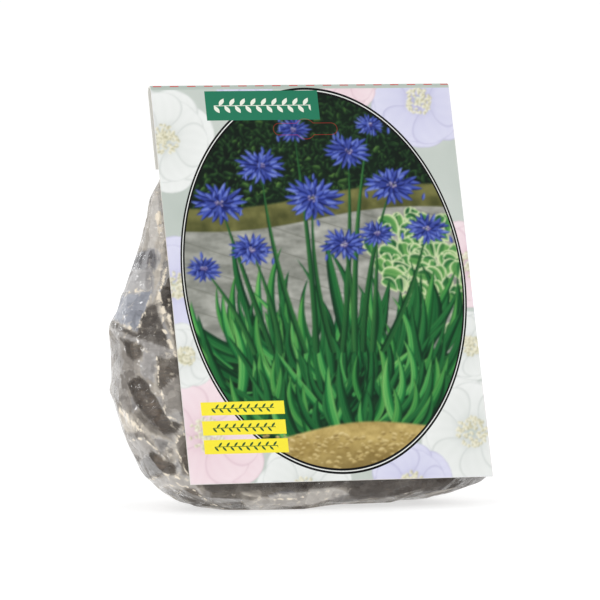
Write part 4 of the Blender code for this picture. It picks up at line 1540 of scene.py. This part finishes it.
def card_marks_group():
    """The crisp marks over the painted picture: oval lines, labels, slot outline and fold dashes."""
    tree, w, given, out = new_group(
        "card_marks",
        (("Picture", "NodeSocketColor", (0.8, 0.8, 0.8, 1)),),
        (("Colour", "NodeSocketColor"), ("Ink", "NodeSocketFloat")),
    )
    place = w.add("ShaderNodeSeparateXYZ")
    w.feed(place.inputs[0], w.attribute("card_place", "Vector"))
    x, z = place.outputs[0], place.outputs[1]
    colour = given.outputs["Picture"]
    a = w.math("DIVIDE", w.math("SUBTRACT", x, OVAL_MIDDLE[0]), OVAL_HALF[0])
    b = w.math("DIVIDE", w.math("SUBTRACT", z, OVAL_MIDDLE[1]), OVAL_HALF[1])
    away = w.math("SQRT", w.math("ADD", w.math("MULTIPLY", a, a), w.math("MULTIPLY", b, b)))
    away = w.math("MULTIPLY", w.math("SUBTRACT", away, 1.0), 78.0)
    band = w.map(w.math("SUBTRACT", 1.15, w.math("ABSOLUTE", away)), -0.06, 0.06)
    colour = w.mix(band, colour, lin(6, 7, 8))
    line = w.map(w.math("SUBTRACT", 0.21, w.math("ABSOLUTE", away)), -0.06, 0.06)
    colour = w.mix(line, colour, lin(240, 242, 238))
    colour = w.mix(box_mask(w, x, z, TITLE_PANEL), colour, lin(38, 122, 92))
    low_x, low_z, high_x, high_z = TITLE_PANEL
    sprig = garland(w, x, z, low_x + 4, high_x - 4, (low_z + high_z) / 2, 2.6, 5.0, 1.9)
    colour = w.mix(sprig, colour, lin(236, 240, 226))
    ink = box_mask(w, x, z, TITLE_PANEL)
    for strip in NAME_STRIPS:
        mask = box_mask(w, x, z, strip)
        colour = w.mix(mask, colour, lin(252, 236, 64))
        row = garland(w, x, z, strip[0] + 5, strip[2] - 5, (strip[1] + strip[3]) / 2, 1.9, 2.9, 1.0)
        colour = w.mix(row, colour, lin(46, 92, 50))
        ink = w.math("MAXIMUM", ink, mask)
    sx = w.math("ABSOLUTE", w.math("SUBTRACT", x, SLOT_MIDDLE[0]))
    sz = w.math("SUBTRACT", z, SLOT_MIDDLE[1])
    wing_x = w.math("MAXIMUM", w.math("SUBTRACT", sx, SLOT_WING_HALF[0] - SLOT_WING_HALF[1]), 0.0)
    wing = w.math("SQRT", w.math("ADD", w.math("MULTIPLY", wing_x, wing_x), w.math("MULTIPLY", sz, sz)))
    wing = w.math("SUBTRACT", wing, SLOT_WING_HALF[1])
    dome = w.math("SQRT", w.math("ADD", w.math("MULTIPLY", sx, sx), w.math("MULTIPLY", sz, sz)))
    dome = w.math("SUBTRACT", dome, SLOT_DOME)
    edge = w.math("ABSOLUTE", w.math("MINIMUM", wing, dome))
    outline = w.map(w.math("SUBTRACT", 0.15, edge), -0.05, 0.05, 0.0, 0.42)
    colour = w.mix(outline, colour, lin(190, 46, 44))
    dash = w.math("FRACT", w.math("DIVIDE", w.math("ADD", x, 100.0), DASH_PITCH))
    dash = w.map(w.math("SUBTRACT", 0.25, w.math("ABSOLUTE", w.math("SUBTRACT", dash, 0.5))), -0.01, 0.01)
    rule = w.map(w.math("SUBTRACT", 0.42, w.math("ABSOLUTE", w.math("SUBTRACT", z, FOLD_DASH_HEIGHT))), -0.05, 0.05)
    colour = w.mix(w.math("MULTIPLY", dash, rule), colour, lin(214, 74, 70))
    w.feed(out.inputs["Colour"], colour)
    w.feed(out.inputs["Ink"], ink)
    return tree


def printed_material(fibre, marks):
    material, w, shader = new_material("card_print")
    made = w.group(marks, Picture=w.attribute("print_colour", "Color"))
    grain = w.group(fibre, Colour=made.outputs["Colour"])
    w.feed(shader.inputs["Base Color"], grain.outputs["Colour"])
    w.feed(shader.inputs["Roughness"], grain.outputs["Roughness"])
    w.feed(shader.inputs["Normal"], w.bump(grain.outputs["Height"], 0.12, 0.00005))
    shader.inputs["Specular IOR Level"].default_value = 0.16
    return material


def border_material(fibre, marks):
    """The back flap and the fold: the border's pale ground."""
    material, w, shader = new_material("card_border_ground")
    place = w.objects()
    cloud = w.noise(place, 26.0, 2.0)
    tone_b = w.mix(w.map(cloud, 0.3, 0.7), lin(184, 196, 187), lin(198, 208, 200))
    made = w.group(marks, Picture=tone_b)
    grain = w.group(fibre, Colour=made.outputs["Colour"])
    w.feed(shader.inputs["Base Color"], grain.outputs["Colour"])
    w.feed(shader.inputs["Roughness"], grain.outputs["Roughness"])
    w.feed(shader.inputs["Normal"], w.bump(grain.outputs["Height"], 0.12, 0.00005))
    shader.inputs["Specular IOR Level"].default_value = 0.16
    return material


def board_material(fibre):
    material, w, shader = new_material("card_board")
    grain = w.group(fibre, Colour=lin(232, 231, 225), Strength=1.6)
    w.feed(shader.inputs["Base Color"], grain.outputs["Colour"])
    w.feed(shader.inputs["Roughness"], w.map(grain.outputs["Height"], 0.3, 0.7, 0.72, 0.86))
    w.feed(shader.inputs["Normal"], w.bump(grain.outputs["Height"], 0.35, 0.00008))
    return material


def film_material():
    material, w, shader = new_material("crumpled_clear_film")
    place = w.objects()
    fine = w.noise(w.stretch(place, (1.0, 1.0, 1.6)), 520.0, 4.0, 0.6)
    streak = w.noise(w.stretch(place, (0.6, 0.6, 2.4), (0.0, 0.5, 0.3)), 300.0, 3.0)
    uneven = w.math("ADD", w.math("MULTIPLY", fine, 0.5), w.math("MULTIPLY", streak, 0.5))
    uneven = w.math("SUBTRACT", uneven, 0.5)
    bent = w.add("ShaderNodeVectorMath", operation="MULTIPLY_ADD")
    w.feed(bent.inputs[0], w.noise_colour(place, 90.0))
    bent.inputs[1].default_value = (0.005, 0.005, 0.005)
    w.feed(bent.inputs[2], place)
    bent = bent.outputs[0]
    broad, broad_chance = w.facets(w.stretch(bent, (1.0, 1.0, 0.7), (0.3, 0.5, 0.2)), 100.0)
    slight, slight_chance = w.facets(w.stretch(bent, (1.0, 1.0, 1.3), (0.9, 0.2, 0.7)), 230.0)
    # panes: each facet tints lightness and milkiness its own way, as painted reflections that differ from facet to
    # facet.
    panes = w.math("ADD", w.math("MULTIPLY", broad_chance, 0.55), w.math("MULTIPLY", slight_chance, 0.45))
    panes = w.math("SUBTRACT", panes, 0.5)
    tint = w.math("ADD", w.math("MULTIPLY", uneven, 0.26), w.math("MULTIPLY", panes, 0.26))
    light = w.math("ADD", w.attribute("light"), tint, clamp=True)
    tint = w.math("ADD", w.math("MULTIPLY", uneven, 0.22), w.math("MULTIPLY", panes, 0.20))
    veil = w.math("ADD", w.attribute("veil"), tint, clamp=True)
    dark_tone = w.mix(w.attribute("cool"), lin(104, 97, 90), lin(100, 104, 116))
    light_tone = w.mix(w.attribute("cool"), lin(204, 196, 184), lin(188, 192, 202))
    body = w.mix(light, dark_tone, light_tone)
    # Painted glints: cream flakes along the creases, which are also made more opaque.
    wander = w.map(w.noise(place, 300.0, 3.0), 0.3, 0.7, -0.4, 0.4)
    away = w.math("ADD", w.math("MULTIPLY", w.attribute("crease"), 3.0), wander)
    glint = w.map(away, 0.35, 1.05, 1.0, 0.0)
    broken = w.map(w.noise(place, 340.0, 2.0), 0.43, 0.53)
    glint = w.math("MULTIPLY", glint, broken)
    body = w.mix(glint, body, lin(240, 228, 208))
    w.feed(shader.inputs["Base Color"], body)
    cover = w.map(veil, 0.0, 1.0, 0.26, 0.97)
    cover = w.math("ADD", cover, w.math("MULTIPLY", glint, 0.5), clamp=True)
    slant = w.add("ShaderNodeLayerWeight").outputs["Facing"]
    cover = w.math("ADD", cover, w.map(slant, 0.70, 0.96, 0.0, 0.7), clamp=True)
    w.feed(shader.inputs["Alpha"], cover)
    w.feed(shader.inputs["Roughness"], w.map(fine, 0.3, 0.7, 0.03, 0.12))
    shader.inputs["Specular IOR Level"].default_value = 0.5
    shader.inputs["IOR"].default_value = 1.50
    ripple = w.noise(place, 160.0, 3.0)
    height = w.math("ADD", broad, w.math("MULTIPLY", slight, 0.8))
    height = w.math("ADD", height, w.math("MULTIPLY", ripple, 0.0007))
    w.feed(shader.inputs["Normal"], w.bump(height, 0.55, 1.0))
    return material


def peat_material():
    material, w, shader = new_material("damp_peat")
    place = w.objects()
    crumbs = w.noise(place, 320.0, 5.0, 0.65)
    clods = w.noise(place, 70.0, 3.0)
    fibres = w.noise(w.stretch(place, (1.0, 1.0, 7.0), (0.6, 0.3, 0.0)), 240.0, 4.0)
    colour = w.mix(w.map(crumbs, 0.32, 0.68), lin(34, 27, 23), lin(96, 82, 70))
    colour = w.mix(w.map(clods, 0.4, 0.7), colour, lin(64, 52, 44))
    colour = w.mix(w.map(fibres, 0.62, 0.78), colour, lin(142, 118, 92))
    w.feed(shader.inputs["Base Color"], colour)
    w.feed(shader.inputs["Roughness"], w.map(clods, 0.3, 0.7, 0.62, 0.95))
    w.feed(shader.inputs["Normal"], w.bump(crumbs, 0.9, 0.0012))
    return material


def root_material():
    material, w, shader = new_material("root_skin")
    place = w.objects()
    rings = w.noise(w.stretch(place, (1.0, 1.0, 5.0)), 160.0, 4.0)
    patches = w.noise(place, 55.0, 3.0)
    specks = w.noise(place, 700.0, 2.0)
    colour = w.mix(w.map(rings, 0.35, 0.65), lin(70, 58, 50), lin(126, 106, 86))
    colour = w.mix(w.map(patches, 0.5, 0.72), colour, lin(54, 44, 38))
    colour = w.mix(w.map(specks, 0.62, 0.75), colour, lin(160, 138, 112))
    w.feed(shader.inputs["Base Color"], colour)
    w.feed(shader.inputs["Roughness"], w.map(rings, 0.3, 0.7, 0.5, 0.8))
    w.feed(shader.inputs["Normal"], w.bump(rings, 0.6, 0.0006))
    return material


def glue_material():
    material, w, shader = new_material("dried_glue")
    place = w.objects()
    runs = w.noise(w.stretch(place, (0.4, 1.0, 2.0)), 180.0, 3.0)
    w.feed(shader.inputs["Base Color"], w.mix(runs, lin(226, 216, 176), lin(244, 240, 220)))
    w.feed(shader.inputs["Roughness"], w.map(runs, 0.3, 0.7, 0.3, 0.55))
    w.feed(shader.inputs["Normal"], w.bump(runs, 0.5, 0.0003))
    return material


def floor_material():
    material, w, shader = new_material("studio_sweep")
    tone_noise = w.noise(w.objects(), 3.0, 2.0)
    w.feed(shader.inputs["Base Color"], w.mix(tone_noise, lin(190, 190, 190), lin(194, 194, 194)))
    shader.inputs["Roughness"].default_value = 0.9
    shader.inputs["Specular IOR Level"].default_value = 0.0
    shader.inputs["Emission Color"].default_value = (1.0, 1.0, 1.0, 1.0)
    shader.inputs["Emission Strength"].default_value = 0.62
    return material


def wear(obj, *materials):
    for material in materials:
        obj.data.materials.append(material)



def make_sweep(material):
    """A pale seamless sweep: floor, a wide curve and a back wall."""
    let_go()
    bpy.ops.mesh.primitive_plane_add(size=1, location=(0, 0.2, 0))
    sweep = bpy.context.object
    sweep.name = "studio_sweep"
    sweep.scale = (8.0, 6.0, 1)
    settle(sweep)
    bpy.ops.object.mode_set(mode="EDIT")
    mesh = bmesh.from_edit_mesh(sweep.data)
    back = max(v.co.y for v in mesh.verts)
    for edge in mesh.edges:
        edge.select_set(all(v.co.y > back - 1e-5 for v in edge.verts))
    mesh.select_flush(False)
    bmesh.update_edit_mesh(sweep.data)
    bpy.ops.mesh.spin(steps=16, angle=-math.pi / 2, center=(0, back, 1.0), axis=(1, 0, 0))
    bpy.ops.mesh.extrude_region_move(TRANSFORM_OT_translate={"value": (0, 0, 3.0)})
    bpy.ops.object.mode_set(mode="OBJECT")
    merge_and_face_out(sweep, 1e-5)
    bpy.ops.object.shade_smooth()
    wear(sweep, material)
    return sweep


def add_light(name, place, target, size, power, colour=(1.0, 1.0, 1.0)):
    let_go()
    bpy.ops.object.light_add(type="AREA", location=place)
    light = bpy.context.object
    light.name = name
    light.data.shape = "RECTANGLE"
    light.data.size, light.data.size_y = size
    light.data.energy = power
    light.data.color = colour
    light.rotation_euler = (Vector(target) - Vector(place)).to_track_quat("-Z", "Y").to_euler()
    return light


def light_room():
    world = bpy.data.worlds.new("studio") if bpy.context.scene.world is None else bpy.context.scene.world
    bpy.context.scene.world = world
    world.use_nodes = True
    sky = world.node_tree.nodes["Background"]
    sky.inputs["Color"].default_value = (1.0, 1.0, 1.0, 1.0)
    sky.inputs["Strength"].default_value = WORLD_GLOW
    middle = (0.0, 0.0, 0.09)
    add_light("key_window", (-1.1, -1.7, 1.5), middle, (0.9, 0.9), 4.0)
    add_light("fill_window", (1.5, -1.5, 0.9), middle, (1.0, 1.2), 1.6)
    add_light("left_strip", (-1.5, -0.7, 0.35), middle, (0.08, 1.1), 4.5)
    add_light("low_strip", (-0.5, -1.7, 0.12), middle, (1.1, 0.06), 1.6)
    add_light("right_strip", (1.5, 0.4, 0.5), middle, (0.10, 1.1), 6.0)
    add_light("back_left_strip", (-1.3, 1.3, 0.6), middle, (0.09, 1.2), 3.2)
    add_light("back_right_strip", (0.9, 1.6, 0.5), middle, (0.09, 1.2), 3.2)
    add_light("back_strip", (-0.6, 1.6, 0.9), middle, (1.1, 0.12), 2.4)


WORLD_GLOW = 0.70


def set_camera():
    let_go()
    shift = VIEW_RIGHT * -0.00806 + VIEW_UP * -0.00396
    bpy.ops.object.camera_add(location=AIM + VIEW_BACK * VIEW_DISTANCE + shift)
    camera = bpy.context.object
    camera.name = "photograph_view"
    turn = Matrix((VIEW_RIGHT, VIEW_UP, VIEW_BACK)).transposed()
    camera.rotation_euler = turn.to_euler()
    camera.data.lens = 381.8
    camera.data.sensor_width = 36.0
    camera.data.clip_end = 50.0
    bpy.context.scene.camera = camera
    bpy.context.scene.view_settings.view_transform = "Standard"
    return camera


def dress():
    dice = random.Random(23)
    fibre = board_fibre_group()
    marks = card_marks_group()
    card = make_card()
    print_on(card)
    wear(card, board_material(fibre), printed_material(fibre, marks), border_material(fibre, marks))
    stand_card(card)
    film, grid, normals, pixels = make_film(dice)
    wear(film, film_material())
    skin = root_material()
    extra = make_pressed_roots(grid, normals, pixels)
    clumps = [
        make_root_clump("rootstock_left", "root_clump_left", extra, 501),
        make_root_clump("rootstock_middle", "root_clump_middle", [], 521),
        make_root_clump("rootstock_right", "root_clump_right", [], 541),
    ]
    for clump in clumps:
        wear(clump, skin)
    peat = make_peat()
    wear(peat, peat_material())
    glue = glue_material()
    for node in ("glue_strip_front", "glue_strip_back"):
        strip = frame["nodes"][node]
        strip.data.materials.clear()
        strip.data.materials.append(glue)
    roles = (
        (card, "header_card", "card"),
        (film, "film_bag", "film"),
        (peat, "peat", "peat"),
        (clumps[0], "rootstock_left", "root"),
        (clumps[1], "rootstock_middle", "root"),
        (clumps[2], "rootstock_right", "root"),
    )
    for piece, node, slot in roles:
        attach(piece, "root")
        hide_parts(node)


dress()
make_sweep(floor_material())
light_room()
set_camera()
